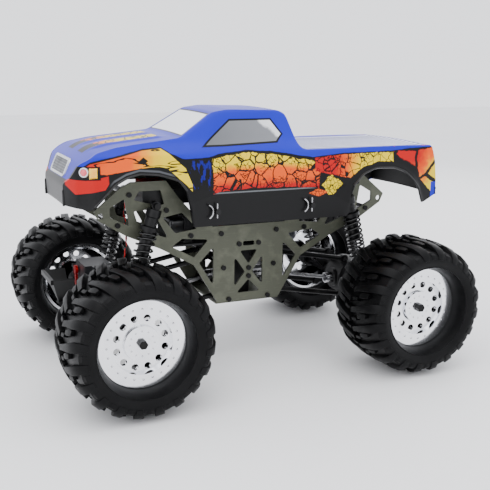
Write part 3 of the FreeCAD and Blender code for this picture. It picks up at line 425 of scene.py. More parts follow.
# Plain finishes by material slot: name, main and worn colour (0 to 255), roughness, metallic,
# waves of grain in a metre, its depth (mm), the grain's scale along each axis, and clear coat.
PLAIN_FINISHES = {
    "anodised_plate": ("anodised plate", (80, 82, 71), (98, 100, 87), 0.45, 0.5, 700, 0.03,
                       (0.15, 1, 1)),
    "steel": ("bright steel", (170, 170, 172), (120, 120, 124), 0.28, 1.0, 900, 0.02, (0.3, 1, 1)),
    "black_steel": ("blackened steel", (4, 4, 5), (24, 23, 22), 0.35, 0.4),
    "black_nylon": ("glass filled nylon", (6, 6, 7), (16, 16, 17), 0.48, 0.0, 1500, 0.08),
    "motor_steel": ("motor can", (120, 122, 128), (90, 92, 96), 0.3, 0.9, 800, 0.02, (0.1, 1, 1)),
    "red_aluminium": ("red anodised aluminium", (176, 16, 20), (205, 48, 44), 0.3, 0.75, 800, 0.02,
                      (1, 0.2, 1)),
    "lead_cover": ("lead cover", (170, 20, 18), (120, 12, 12), 0.45),
    "aluminium": ("brushed aluminium", (196, 198, 200), (160, 162, 166), 0.3, 0.95, 900, 0.02,
                  (0.2, 1, 1)),
    "servo_case": ("servo case", (26, 27, 29), (44, 45, 48), 0.38, 0.0, 1200, 0.06),
    "shock_black": ("shock body", (6, 6, 7), (26, 26, 28), 0.3, 0.3, 900, 0.03, (1, 1, 0.3)),
    "spring_black": ("painted spring wire", (5, 5, 6), (22, 22, 24), 0.26, 0.2, 1400, 0.02, None,
                     0.4),
}


def cad_finishes():
    """Every material slot's own finish."""
    finishes = {slot: plain_finish(*look) for slot, look in PLAIN_FINISHES.items()}
    finishes.update(battery_wrap=battery_wrap(), strap_webbing=strap_webbing(),
                    chrome_rim=chromed_rim(), tyre_rubber=tyre_rubber())
    return finishes


def chromed_rim():
    """Bright plating on the face and bead rings; painted shade makes the barrel's hollow black."""
    make = Finish("chromed rim")
    fine, broad = make.noise(1200, 2.0), make.noise(60, 4.0)
    bright, duller = colour(238, 239, 242), colour(228, 229, 233)
    make.layer(bright).layer(duller, broad.above(0.62, 0.25))
    beside, above = make.x.size() - AXLE_X, make.z - AXLE_Z
    radius = (beside * beside + above * above).op("SQRT")
    inner = make.y.size().below(WHEEL_Y + SHADED_HOLLOW_REACH, 0.4)
    painted_shade_hollow = radius.below(SHADED_HOLLOW_RADIUS, 0.4).both(inner)
    # painted shade: near black inside the rim, where the chrome barrel lies in shadow
    make.layer(colour(16, 16, 18), painted_shade_hollow)
    return make.done(0.11, 1.0, 0.0, fine, 0.003, broad * 0.18 + 0.02, 0.3)


def battery_wrap():
    """Shrink wrap: a plain band round the middle, with soft wrinkles."""
    make = Finish("battery shrink wrap")
    wrinkle = make.noise(160, 4.0, make.stretched((1, 0.25, 1)))
    make.layer(colour(20, 21, 24)).layer(colour(120, 122, 126), make.x.between(20, 56, 1.0))
    make.layer(colour(150, 30, 20), make.x.between(24, 29, 0.8))
    return make.done(0.3, 0.0, 0.3, wrinkle, 0.5)


def strap_webbing():
    """Woven nylon: two crossed sets of ridges 1 mm apart."""
    make = Finish("strap webbing")
    weave = (make.y * TURN).op("SINE") * (make.x * TURN).op("SINE")
    make.layer(colour(22, 22, 24)).layer(colour(52, 52, 56), weave.above(0.2, 0.6))
    return make.done(0.85, 0.0, 0.0, weave, 0.3)


def tyre_rubber():
    """Soft rubber: nearly black, greyer where it is dusty, with a fine pebbled skin."""
    make = Finish("tyre rubber")
    dust = make.noise(45, 5.0)
    pebble = make.noise(1300, 2.0)
    make.layer(colour(2, 2, 3)).layer(colour(11, 11, 12), dust.above(0.58, 0.3))
    return make.done(0.45, 0.0, 0.0, pebble, 0.12, dust * 0.25 + 0.32, 0.13)


def shell_paint(settings):
    """The moulded shell's colours: blue above, black below, flames and cracked stone between.

    Each border is a height (mm) that follows the length of the truck; a crack is a thin line
    where two random cells meet. Later layers cover earlier ones."""
    make = Finish("printed shell")
    x, z, wide = make.x, make.z, make.y.size()
    black, soot = colour(4, 4, 5), colour(16, 16, 18)
    blue, red, orange, yellow = ([*getattr(settings, name), 1]
                                 for name in ("blue", "red", "orange", "yellow"))
    drift = make.noise(70, 4.0) - 0.5
    jag = make.noise(260, 3.0) - 0.5
    ragged = z + drift * 5 + jag * 2.2
    reach = z.bent(HALF_BY_HEIGHT).both(x.bent(HALF_BY_LENGTH))
    side = wide.above(reach - 5.0, 1.0)
    warped = make.vector((x + drift * 7) * MM, 0.0, (z + jag * 4) * MM)
    crack = make.cells(105, warped).below(0.035, 0.02)
    small_crack = make.cells(230, warped).below(0.05, 0.03)

    make.layer(blue)
    make.layer(colour(34, 46, 190), make.noise(8, 2.0).above(0.55, 0.2) * 0.3)

    # top: two strips of cracked hot stone on the bonnet; the bed cover's ribs in painted light and
    # shade
    strip = wide.between(11, 31, 0.8).both(x.between(102, 184, 1.0)).both(z.above(245, 1.0))
    patch = make.cells(110, make.vector(x * MM, make.y * MM, 0.0)).above(0.06, 0.03)
    make.layer(soot, strip)
    warm = make.ramp(x + drift * 30, [(90, yellow), (140, yellow), (165, orange), (195, red)])
    make.layer(warm, strip, patch, (x + drift * 60).below(164, 1.0))
    bed = x.between(BED_REAR, BED_FRONT, 0.8).both(wide.below(BED_HALF, 0.8))
    bed = bed.both(z.above(240, 1.0))
    rib = (make.y * (TURN / RIB_PITCH)).op("COSINE")
    make.layer(colour(150, 156, 205), bed)
    # painted highlight near white in each rib valley, painted shade near black along each crest
    make.layer(colour(232, 234, 246), bed, rib.below(-0.5, 0.4))
    make.layer(colour(3, 3, 6), bed, rib.above(0.45, 0.3))

    # windows; the windscreen's near white is painted reflection: the pale surroundings seen in its
    # clear glass
    screen_half = z.op("MULTIPLY_ADD", -SCREEN_TAPER, SCREEN_HALF)
    glass = x.between(SCREEN_REAR, SCREEN_FRONT, 0.8).both(wide.below(screen_half, 0.8))
    rim = x.between(SCREEN_REAR - 1.6, SCREEN_FRONT + 1.6, 0.8).both(
        wide.below(screen_half + 1.5, 0.8))
    rear = z.between(254, 281, 0.8).both(x.below(-39, 0.5)).both(wide.below(43, 0.8))
    above_belt = z.above(250, 1.0)
    make.layer(soot, rim, above_belt, z.below(286.6, 0.5))
    # painted reflection: near white over the clear windscreen
    make.layer(colour(236, 238, 241), glass, above_belt, z.below(285.6, 0.5))
    make.layer(colour(62, 64, 68), rear, above_belt)

    # sides: black ground below the blue band
    band = x.bent([(-235, 244), (-186, 242), (-170, 240.5), (-103, 240), (-64, 237), (-12, 245.5),
                   (15, 247), (48, 244.5), (60, 241), (88, 240.5), (101, 247), (110, 253),
                   (131, 251.5), (154, 247), (186, 241), (208, 224)])
    make.layer(black, side, (z + drift * 2).below(band))

    # front fender flame and the finger that drops behind the arch
    flame_top = x.bent([(76, 207), (80, 216), (86, 231), (103, 246.5), (110, 251.5), (131, 250),
                        (154, 245), (186, 239), (190, 236)])
    flame_low = x.bent([(76, 203), (84, 212), (95, 222), (106, 232), (114, 234), (134, 233),
                        (154, 230), (170, 228), (188, 230)])
    flame = z.below(flame_top).both((z + jag * 1.5).above(flame_low)).both(x.between(79, 189))
    streak = make.noise(34, 3.0, make.stretched((0.35, 1, 2.2)))
    blaze = make.ramp(x + z * 0.5 + drift * 26, [(195, yellow), (232, yellow), (262, orange),
                                                   (290, orange), (308, red)])
    make.layer(blaze, side, flame)
    make.layer(black, side, flame, streak.between(0.485, 0.515, 0.006))
    knot = ((x - 131).size() * 0.2 + (z - 240).size() * 0.25).below(1.0, 0.15)
    make.layer(black, side, knot)
    # fender lip: a grey painted highlight along its upper turn, where light falls on it
    lip = (z - x.bent([(76, 166), (86, 212), (94, 222.5), (115, 229), (136, 231), (150, 227.5),
                       (163, 221), (183, 201), (205, 170)])).size().below(1.0, 0.8)
    make.layer(colour(70, 72, 76), side, lip, x.between(100, 165, 6.0))

    # dark blue bolts behind the front arch
    bolt = make.noise(120, 4.0, make.stretched((1.6, 1, 0.7)))
    zone = x.between(58, 90, 2.0).both(z.between(207, 238, 2.0)).both(z.above(flame_top))
    make.layer(colour(8, 10, 120), side, zone, bolt.above(0.57, 0.04))

    # one band of cracked hot stone along the door, red at its foot and yellow on top
    top = x.bent([(-66, 232), (-64, 233), (-12, 242.5), (15, 244.5), (48, 241), (60, 239)])
    low = x.bent([(-76, 202), (-74, 203), (-11, 207), (48, 204.5), (60, 201)])
    stone = ragged.between(low, top).both((x + jag * 6).between(-72, 55, 0.8))
    share = (z - low) + drift * 16
    heat = make.ramp(share, [(-3, red), (3, red), (11, orange), (20, orange), (28, yellow),
                             (44, yellow)])
    seam = make.cells(74, warped).below(0.045, 0.02)
    make.layer(heat, side, stone)
    make.layer(black, side, stone, seam.either(small_crack.both(drift.above(0.02, 0.05))))

    # burst behind the door
    burst = ((x + 88).size() * 0.072 + (z - 205).size() * 0.088 + jag * 0.5
             + drift * 1.2).below(1.0, 0.06)
    make.layer(yellow, side, burst)
    ember = ((x + 72).size() * 0.07 + (z - 197).size() * 0.2 + jag * 0.6).below(0.9, 0.06)
    make.layer(orange, side, ember)
    make.layer(black, side, burst.either(ember), small_crack)

    # rear quarter: red behind the door through orange to yellow over the arch
    under = x.bent([(-172, 228), (-150, 229), (-128, 223), (-112, 212), (-100, 214), (-74, 220),
                    (-66, 222)])
    quarter = (z + jag * 3).between(under, band - 1.5).both(x.between(-170, -67, 1.0))
    glow = make.ramp(x + drift * 22, [(-180, yellow), (-128, yellow), (-108, orange), (-92, red),
                                     (-60, red)])
    make.layer(glow, side, quarter)
    split = crack.either(small_crack.both(drift.above(0.03, 0.05)))
    make.layer(black, side, quarter, split)

    # tail: rounded tongues of fire on black
    edge = x.bent([(-236, 186), (-226, 190), (-210, 204), (-196, 218), (-180, 232), (-170, 240)])
    tongue = make.cells(34, make.vector((x + drift * 10) * MM, 0.0, (z + jag * 3) * (1.1 * MM)))
    tail = (z + jag * 3).above(edge).both(x.below(-171, 0.8))
    heat = make.ramp(z * -0.6 - x + drift * 40, [(20, red), (62, red), (84, orange), (98, yellow)])
    make.layer(heat, side, tail, tongue.above(0.07, 0.03))
    make.layer(blue, x.below(-226, 0.8), z.below(201, 0.8))

    # tail face: a lamp in a dark surround at each corner, and the tailgate's gap
    face = x.below(-229, 0.8)
    surround = wide.between(51, 70, 0.8).both(z.between(209, 235, 0.8))
    lens = wide.between(53, 68, 0.8).both(z.between(211, 233, 0.8))
    make.layer(black, face, surround)
    make.layer(red, face, lens)
    make.layer(colour(226, 226, 228), face, lens, z.between(218, 222, 0.6))
    gate = wide.below(48, 0.6).both(z.between(206, 236, 0.6))
    panel = wide.below(46.8, 0.6).both(z.between(207.2, 234.8, 0.6))
    make.layer(soot, face, gate, panel.below(0.5, 0.5))

    # nose: dark bumper, red patch under the lamp, lamp pocket
    bumper = x.above(178, 0.8).both(z.below(221.5, 0.8))
    make.layer(soot, bumper)
    make.layer(black, bumper, make.noise(40, 3.0).above(0.52, 0.2))
    patch_low = x.bent([(166, 222), (172, 213), (199, 208), (208, 219)])
    patch_top = x.bent([(166, 227), (190, 222.5), (208, 223)])
    flare = z.above(patch_low).both(z.below(patch_top)).both(x.between(168, 206, 0.8))
    make.layer(red, side, flare)
    pocket = x.between(176, 201, 0.8).both(z.between(223, 236.5, 0.8))
    make.layer(black, side, pocket)

    # side windows: dark seal round clear glass, painted with the light and shade seen through it
    inward = window_depth(make)
    make.layer(black, side, inward.above(0.0))
    painted_view_through = make.ramp(x + z * -1.2 + drift * 18, [
        (-358, colour(222, 224, 226)), (-341, colour(214, 216, 218)),
        (-335, colour(118, 120, 124)), (-250, colour(96, 98, 102))])
    # painted light and shade: pale where the far window shows the surroundings, grey for the cab's
    # shaded inside
    make.layer(painted_view_through, side, inward.above(2.0))

    # lower sill, with a painted highlight: a light line along the crease
    sill = z.below(203.5, 0.6).both(x.between(-112, 86)).both(burst.either(ember).below(0.5))
    make.layer(colour(10, 10, 11), side, sill, z.below(low - 1.5))
    crease_highlight = (z - 203.0).size().below(0.7, 0.8).both(x.between(-66, 76, 8.0))
    # painted highlight along the crease
    make.layer(colour(120, 124, 128), side.both(crease_highlight).both(z.below(low - 0.5)) * 0.7)
    return make.done(0.33, bump=make.noise(420, 2.0), depth=0.02, specular=0.2)


def window_depth(make):
    """How far inside the side window's outline a place is: the least of its edges' distances."""
    least = None
    corners, normals = outline_edges(SIDE_WINDOW)
    for (corner_x, corner_z), (in_x, in_z) in zip(corners.tolist(), normals.tolist()):
        reach = make.z.op("MULTIPLY_ADD", in_z, make.x * in_x) - (corner_x * in_x + corner_z * in_z)
        least = reach if least is None else least.both(reach)
    return least


# ------------------------------------------------------------------ shapes

def shell_points(rows, wall, roof):
    """The moulded sheet. Stations run along the centre-line outline; at each one the section
    climbs from the sill or arch up the wall, y the lesser of the two half widths, then crosses
    the top with a slight crown. Windows are sunk, the bed is ribbed, corners are averaged."""
    spine = np.array(SPINE, float)
    run = distances(spine)
    station = np.linspace(0, run[-1], rows)
    x = np.interp(station, run, spine[:, 0])
    top = np.interp(station, run, spine[:, 1])
    arch = np.maximum(np.where(x > FRONT_ARCH[0][0], bent(x, FRONT_ARCH), 0),
                      np.where((x < REAR_ARCH[-1][0]) & (x > REAR_ARCH[0][0]),
                               bent(x, REAR_ARCH), 0))
    foot = np.minimum(np.maximum(bent(x, SILL), arch), top - 0.6)
    climb = np.linspace(0, 1, wall)[None, :]
    z_wall = foot[:, None] + (top - foot)[:, None] * climb
    x_wall = np.repeat(x[:, None], wall, 1)
    y_wall = np.minimum(bent(z_wall, HALF_BY_HEIGHT), bent(x_wall, HALF_BY_LENGTH))
    sunk = smooth_rise(depth_inside(x_wall, z_wall, SIDE_WINDOW), 2.0)
    sill = (smooth_rise(205 - z_wall, 4.0) * smooth_rise(82 - x_wall, 4)
            * smooth_rise(x_wall + 110, 4))
    over_arch = np.maximum(z_wall - arch[:, None], 0)
    swell = np.where(arch[:, None] > 0, 1 - smooth_rise(over_arch, 9.0), 0)
    y_wall = y_wall - WINDOW_DEPTH * sunk - SILL_DEPTH * sill + ARCH_SWELL * swell
    edge = y_wall[:, -1:]
    across = np.linspace(1, 0, roof + 1)[None, 1:]
    y_top = edge * across
    x_top = np.repeat(x[:, None], roof, 1)
    z_top = top[:, None] - 1.2 * (y_top / 60) ** 2
    bed = (smooth_rise(BED_FRONT - x_top, 4) * smooth_rise(x_top - BED_REAR, 4)
           * smooth_rise(BED_HALF - y_top, 3))
    z_top = z_top - bed * (1.2 - 0.6 * np.cos(TURN * y_top / RIB_PITCH))
    screen = (smooth_rise(x_top - SCREEN_REAR, 2) * smooth_rise(SCREEN_FRONT - x_top, 2)
              * smooth_rise(SCREEN_HALF - SCREEN_TAPER * z_top - y_top, 2))
    z_top = z_top - SCREEN_DEPTH * screen
    bonnet = smooth_rise(x_top - 96, 6) * smooth_rise(182 - x_top, 14)
    ridge = smooth_rise(38 - y_top, 5) - 0.6 * smooth_rise(8 - y_top, 4)
    z_top = z_top + BONNET_RISE * bonnet * ridge
    lip = np.stack([x, y_wall[:, 0] - 3.0, foot], -1)[:, None]
    left = np.concatenate([lip, np.stack([x_wall, y_wall, z_wall], -1),
                           np.stack([x_top, y_top, z_top], -1)], 1)
    right = left[:, -2::-1] * np.array([1, -1, 1])
    sheet = np.concatenate([left, right], 1)
    for _ in range(5):
        inner = (sheet[:-2, 2:-2] + sheet[2:, 2:-2] + sheet[1:-1, 1:-3] + sheet[1:-1, 3:-1]) / 4
        sheet[1:-1, 2:-2] = (sheet[1:-1, 2:-2] + inner) / 2
    return sheet


# Carcass of a tyre, outside then inside: radius as a share of the tyre's, and distance from the
# middle as a share of its whole width.
TYRE_OUTSIDE = [(0.925, 0.0), (0.924, 0.12), (0.918, 0.25), (0.900, 0.36), (0.880, 0.437),
                (0.835, 0.470), (0.78, 0.48), (0.72, 0.476), (0.675, 0.452), (0.66, 0.455),
                (0.645, 0.43), (0.622, 0.385), (0.605, 0.34), (0.594, 0.27), (0.594, 0.208)]
TYRE_INSIDE = [(0.545, 0.206), (0.545, 0.15), (0.62, 0.17), (0.66, 0.36), (0.78, 0.44),
               (0.86, 0.40), (0.90, 0.20), (0.905, 0.0)]

# Kinds of lug on half a tyre. Per station across the tyre (mm): distance from the middle, radius
# of the lug's foot, half width and height. Then how far it leans over its length (radians), and
# where it stands: a share of the pitch, and an angle added to it.
LUG_KINDS = [
    dict(lateral=[1.5, 12, 23, 31, 38, 42.5, 44.6],
         foot=[69.3, 69.2, 68.8, 67.8, 65.8, 62.6, 58.0],
         half_width=[3.4, 3.8, 4.8, 5.6, 5.8, 5.0, 3.6],
         height=[5.5, 5.6, 5.4, 5.2, 4.2, 2.7, 1.2], lean=0.17, share=0.0, shift=0.0),
    dict(lateral=[13, 18, 23, 27], foot=[69.1, 68.9, 68.6, 68.2], half_width=[2.6, 3.6, 3.6, 2.6],
         height=[4.6, 5.0, 4.8, 4.2], lean=0.05, share=0.5, shift=0.09),
    dict(lateral=[2, 7, 11], foot=[70.3, 70.2, 70.1], half_width=[2.0, 2.3, 2.0],
         height=[3.8, 4.0, 3.6], lean=0.02, share=0.55, shift=0.0),
    dict(lateral=[39.5, 42.5, 44.4], foot=[65.0, 62.6, 58.8], half_width=[3.4, 3.6, 2.6],
         height=[1.6, 2.0, 1.0], lean=0.02, share=0.5, shift=0.15),
]

# Section of a lug: shares of its half width and of its height.
LUG_SECTION = [(-1.0, -0.35), (-0.94, 0.0), (-0.80, 0.92), (-0.66, 1.0), (0.66, 1.0),
               (0.80, 0.92), (0.94, 0.0), (1.0, -0.35)]


def tread_lugs(side, count, lateral, foot, half_width, height, lean, share, shift):
    """Rubber lugs of one kind: a tapered section carried outwards over the carcass.

    A point's angle round the wheel is its lug's, plus the lean in proportion to the distance
    from the lug's first station, plus its half width over the radius. Its height is measured
    square to the curve of the stations."""
    lateral, foot, height = (np.array(part, float)[:, None] for part in (lateral, foot, height))
    across, rise = np.array(LUG_SECTION).T
    slope = np.gradient(foot[:, 0], lateral[:, 0])[:, None]
    square = 1 / np.sqrt(1 + slope ** 2)
    radius = foot + height * rise * square
    reach = lateral - height * rise * slope * square
    pitch = TURN / count
    start = np.arange(count)[:, None, None] * pitch + pitch * share + shift
    start = start + (0 if side > 0 else pitch / 2)
    swing = lean * (lateral - lateral[0]) / (lateral[-1] - lateral[0])
    angle = start + swing + np.array(half_width, float)[:, None] * across / foot
    points = np.stack([radius * np.cos(angle), np.broadcast_to(side * reach, angle.shape),
                       radius * np.sin(angle)], -1)
    first, last = (np.repeat(end.mean(2, keepdims=True), points.shape[2], 2)
                   for end in (points[:, :1], points[:, -1:]))
    return np.concatenate([first, points, last], 1)


def tyre_surfaces(centre, lugs):
    """Carcass of revolution, its profile mirrored about the middle, and lugs on both halves."""
    loop = np.array(TYRE_OUTSIDE + TYRE_INSIDE) * (TYRE_RADIUS, 2 * TYRE_HALF)
    mirrored = loop[::-1] * np.array([1, -1])
    carcass = revolve(np.concatenate([loop, mirrored[1:-1]]), centre, (0, 1, 0), 120)
    return [(carcass, True, True, 0)] + [
        (np.array(centre) + tread_lugs(side, lugs, **kind), False, True, 0)
        for side in (1, -1) for kind in LUG_KINDS]


def rivets(centre, hand, count, circle, reach, radius, height):
    """Domed rivet heads in a ring on a rim's face: half an ellipse turned round, many times."""
    rise = np.linspace(0, math.pi / 2, 5)
    profile = np.stack([radius * np.cos(rise), height * np.sin(rise)], 1)
    profile = np.concatenate([[[radius, -0.6]], profile, [[0, height]]])[:, :, None]
    turn, place = around(8), around(count)[:, None, None]
    x = centre[0] + circle * np.cos(place) + profile[:, 0] * np.cos(turn)
    z = centre[2] + circle * np.sin(place) + profile[:, 0] * np.sin(turn)
    y = np.broadcast_to(centre[1] + hand * (reach + profile[:, 1]), x.shape)
    return (np.stack([x, y, z], -1), False, True, 0)


# Each shock's upper and lower eye (x, z), how far out it stands, and its spring's two seats,
# measured from the nearer eye, and coil radius (mm).
SHOCKS = {"front": ((114, 191), (145, 86)), "rear": ((-119, 191), (-145, 86))}
SHOCK_Y = 57
SEAT_BELOW, SEAT_ABOVE, COIL_RADIUS = 27.3, 12.3, 9.2


def coil(top, bottom, wire, turns):
    """A compression spring: a helix round the shock's axis, its end turns closed up."""
    top, bottom = np.array(top, float), np.array(bottom, float)
    along, across, up = frame_of(bottom - top)
    first = SEAT_BELOW + wire
    last = np.linalg.norm(bottom - top) - SEAT_ABOVE - wire
    share = np.linspace(0, 1, int(turns * 22))
    eased = share - 0.027 * np.sin(2 * TURN * share)
    angle = (TURN * turns * share)[:, None]
    outward = np.cos(angle) * across + np.sin(angle) * up
    line = top + along * (first + (last - first) * eased)[:, None] + COIL_RADIUS * outward
    beside = np.cross(unit(np.gradient(line, axis=0)), outward)
    return swept(line, outward, beside, wire)


def springs(end, wire, turns):
    """Both coil springs at one end of the truck, as surfaces for add_piece."""
    eyes = ([(x, side * SHOCK_Y, z) for x, z in SHOCKS[end]] for side in (1, -1))
    return [(coil(top, bottom, wire, turns), False, True, 0) for top, bottom in eyes]


def ring_path(half_wide, half_high, corner, steps):
    """A rounded rectangle in its own plane: four quarter circles joined by straight sides."""
    turn = np.linspace(0, math.pi / 2, steps)
    parts = []
    for quarter, (sx, sy) in enumerate(((1, 1), (-1, 1), (-1, -1), (1, -1))):
        angle = turn + quarter * math.pi / 2
        parts.append(np.stack([sx * (half_wide - corner) + corner * np.cos(angle),
                               sy * (half_high - corner) + corner * np.sin(angle)], 1))
    return np.concatenate(parts)


def placed(flat, centre, right, up, out):
    """Points of a flat drawing (across, height, depth) set on a plane in space."""
    return np.array(centre, float) + np.asarray(flat, float) @ np.array([right, up, out], float)


# The grille's middle (mm), and its plane: across, up the slope of the nose, and outwards.
GRILLE_CENTRE = (199.6, 0, 231)
GRILLE_SLOPE = math.atan2(16, 7)
GRILLE_PLANE = ((0, 1, 0), (-math.cos(GRILLE_SLOPE), 0, math.sin(GRILLE_SLOPE)),
                (math.sin(GRILLE_SLOPE), 0, math.cos(GRILLE_SLOPE)))
GRILLE_SECTION = [(-1.5, -0.6), (-1.3, 1.2), (-0.5, 1.7), (0.6, 1.7), (1.4, 1.1), (1.6, -0.6)]


def grille_surfaces():
    """A swept frame round a rounded rectangle, and a woven mesh: height is the product of two
    sines of the place across and up."""
    path = ring_path(29.5, 8.8, 3.5, 7)
    ahead = unit(np.roll(path, -1, 0) - np.roll(path, 1, 0))
    outward = np.stack([ahead[:, 1], -ahead[:, 0]], 1)
    section = np.array(GRILLE_SECTION)
    flat = path[:, None] + outward[:, None] * section[None, :, :1]
    depth = np.broadcast_to(section[None, :, 1:], flat.shape[:2] + (1,))
    ring = placed(np.concatenate([flat, depth], -1), GRILLE_CENTRE, *GRILLE_PLANE)
    across, height = np.meshgrid(np.linspace(-29, 29, 117), np.linspace(-8.4, 8.4, 35))
    weave = 0.45 * np.abs(np.sin(across * math.pi / 3) * np.sin(height * math.pi / 2.8))
    face, back = (placed(np.stack([across, height, level], -1), GRILLE_CENTRE, *GRILLE_PLANE)
                  for level in (0.75 - weave, np.full_like(weave, -0.4)))
    rim = np.stack([np.concatenate([grid[0], grid[1:, -1], grid[-1, -2::-1], grid[-2:0:-1, 0]])
                    for grid in (face, back)])
    return [(ring, True, True, 0), (face, False, False, 1), (back, False, False, 1),
            (rim, False, True, 1)]


def lamp_surfaces(side):
    """A round lamp at the front corner: ring and domed lens of revolution, and the indicator
    beside it, a cushion-shaped block with rounded edges."""
    out = unit([0.55, side * 0.83, 0.05])
    centre = (191.6, side * 68.4, 230.8)
    ring = [(3.5, -2.5), (3.5, 0.9), (3.9, 1.4), (4.6, 1.3), (5.0, 0.6), (5.0, -2.5)]
    bulge = np.linspace(0, math.pi / 2, 7)
    lens = np.stack([3.6 * np.cos(bulge), 0.4 + 1.3 * np.sin(bulge)], 1)
    lens = np.concatenate([[[0, -1.0], [3.6, -1.0]], lens])
    u, v = np.meshgrid(np.linspace(-1, 1, 15), np.linspace(-1, 1, 21))
    dome = np.clip(1 - np.maximum(np.abs(u), np.abs(v)) ** 6, 0, 1) ** 0.5
    ribs = 0.15 * np.cos(v * 18) * (dome > 0.5)
    beside = unit([0.1, side, 0.06])
    block = placed(np.stack([u * 4.2, v * 5.4, 2.2 * dome + ribs - 0.8], -1),
                   (183.2, side * 73.4, 229.8), np.cross((0, 0, 1), beside), (0, 0, 1), beside)
    return [(revolve(ring, centre, out, 28), True, True, 0),
            (revolve(lens, centre, out, 28), False, True, 1), (block, False, False, 2)]


def arch_edge(points, side):
    """A rolled edge round a wheel arch: a small closed section carried along the arch."""
    line = resampled(np.array(points, float)[1:-1], 60)
    for _ in range(4):
        line[1:-1] = (line[:-2] + 2 * line[1:-1] + line[2:]) / 4
    x, z = line.T
    y = np.minimum(bent(z + 2, HALF_BY_HEIGHT), bent(x, HALF_BY_LENGTH)) + 1.0
    return (tube(np.stack([x, side * y, z], 1), 1.3), False, True, 0)


# Route of the steering servo's lead, from the speed controller down to the servo (mm).
LEAD_ROUTE = [(122.2, 14, 196), (132.5, 14, 195), (136, 13.5, 181), (134, 13, 163),
              (133, 12.5, 145), (135, 11.5, 129), (140.5, 10, 117), (148.8, 8, 111)]

# The lead's two wires: each one's radius, its distance from the lead's line, and the length in
# which it goes round once (mm).
STRAND_RADIUS, STRAND_OFFSET, STRAND_PITCH = 0.6, 0.55, 14.0


def lead_line():
    """The route's own smooth spline, read back as points."""
    curve = bpy.data.curves.new("lead_route", "CURVE")
    curve.dimensions = "3D"
    spline = curve.splines.new("NURBS")
    spline.points.add(len(LEAD_ROUTE) - 1)
    spline.points.foreach_set("co", np.append(np.array(LEAD_ROUTE) * MM,
                                              np.ones((len(LEAD_ROUTE), 1)), 1).ravel())
    spline.order_u = 3
    spline.use_endpoint_u = True
    spline.resolution_u = 16
    holder = bpy.data.objects.new("lead_route", curve)
    bpy.context.scene.collection.objects.link(holder)
    bpy.context.view_layer.update()
    mesh = bpy.data.meshes.new_from_object(holder)
    points = np.empty(len(mesh.vertices) * 3)
    mesh.vertices.foreach_get("co", points)
    bpy.data.objects.remove(holder)
    return points.reshape(-1, 3) / MM


def strand(line, phase):
    """One wire of the pair: it circles the lead's line once in each pitch."""
    centre = resampled(line, 150)
    ahead = unit(np.gradient(centre, axis=0))
    across = unit(np.cross(ahead, (0.0, 1.0, 0.0)))
    up = np.cross(across, ahead)
    run = np.linspace(0, distances(line)[-1], len(centre))
    angle = (TURN * run / STRAND_PITCH + phase)[:, None]
    return tube(centre + STRAND_OFFSET * (np.cos(angle) * across + np.sin(angle) * up),
                STRAND_RADIUS)


# ------------------------------------------------------------------ settings

def colour_setting(name, description, *tint):
    """A colour setting, its default given from 0 to 255."""
    return bpy.props.FloatVectorProperty(name=name, description=description, size=3,
                                         subtype="COLOR", default=colour(*tint)[:3])


def count_setting(name, description, default, least):
    """A setting that is a whole number."""
    return bpy.props.IntProperty(name=name, description=description, default=default, min=least)


class TruckPaintSettings(bpy.types.PropertyGroup):
    """Colours of the shell, and how fine its mesh is"""
    blue: colour_setting("Blue", "Upper shell colour", 16, 26, 172)
    red: colour_setting("Red", "Hot end of the flames", 178, 4, 4)
    orange: colour_setting("Orange", "Middle of the flames", 222, 82, 0)
    yellow: colour_setting("Yellow", "Tips of the flames", 224, 194, 0)
    shell_rows: count_setting("Shell rows", "Stations along the shell", 250, 60)
    shell_roof: count_setting("Shell roof", "Columns across half the roof", 46, 12)
    shell_wall: count_setting("Shell wall", "Rows up a side wall", 34, 12)


class TruckWheelSettings(bpy.types.PropertyGroup):
    """Counts of what goes round a wheel"""
    lugs: count_setting("Lugs", "Tread lugs round each side of a tyre", 20, 8)
    rim_rivets: count_setting("Rim rivets", "Rivets round the rim ring", 24, 6)
    hub_rivets: count_setting("Hub rivets", "Rivets round the hub disc", 12, 4)


class TruckSpringSettings(bpy.types.PropertyGroup):
    """Size of the coil springs"""
    wire: bpy.props.FloatProperty(name="Wire", description="Spring wire radius in millimetres",
                                  default=1.25, min=0.3, max=2.0)
    turns: bpy.props.FloatProperty(name="Turns", description="Turns of each spring",
                                   default=12, min=3)


class TruckStageSettings(bpy.types.PropertyGroup):
    """Strength of the lights"""
    key: bpy.props.FloatProperty(name="Key light", description="Power of the large lamp above",
                                 default=14.0, min=0, unit="POWER")
    fill: bpy.props.FloatProperty(name="Fill light", description="Power of the lamp by the camera",
                                  default=4.0, min=0, unit="POWER")
    sky: bpy.props.FloatProperty(name="Sky", description="Strength of the pale surroundings",
                                 default=1.9, min=0)


# ------------------------------------------------------------------ operators

# The camera's place (m) and its right, up and backward directions, its lens and sensor (mm); each
# lamp's name, setting, share of it, size and place (m); the floor's half width, the lines of its
# grid and its height, just under the tyres (mm).
CAMERA_PLACE = (0.39002, 0.89017, 0.34676)
CAMERA_AXES = ((-0.9109, 0.41247, 0.01141), (-0.08072, -0.20523, 0.97538),
               (0.40465, 0.88755, 0.22023))
CAMERA_LENS, CAMERA_SENSOR = 62.0, 36.0
LAMPS = [("key", "key", 1.0, 1.6, (0.3, 0.5, 1.5)), ("fill", "fill", 1.0, 1.2, (1.2, 1.1, 0.7)),
         ("rim", "key", 0.5, 1.2, (-1.2, -0.7, 1.0))]
FLOOR_HALF, FLOOR_LINES, FLOOR_Z = 4000, 9, -0.05


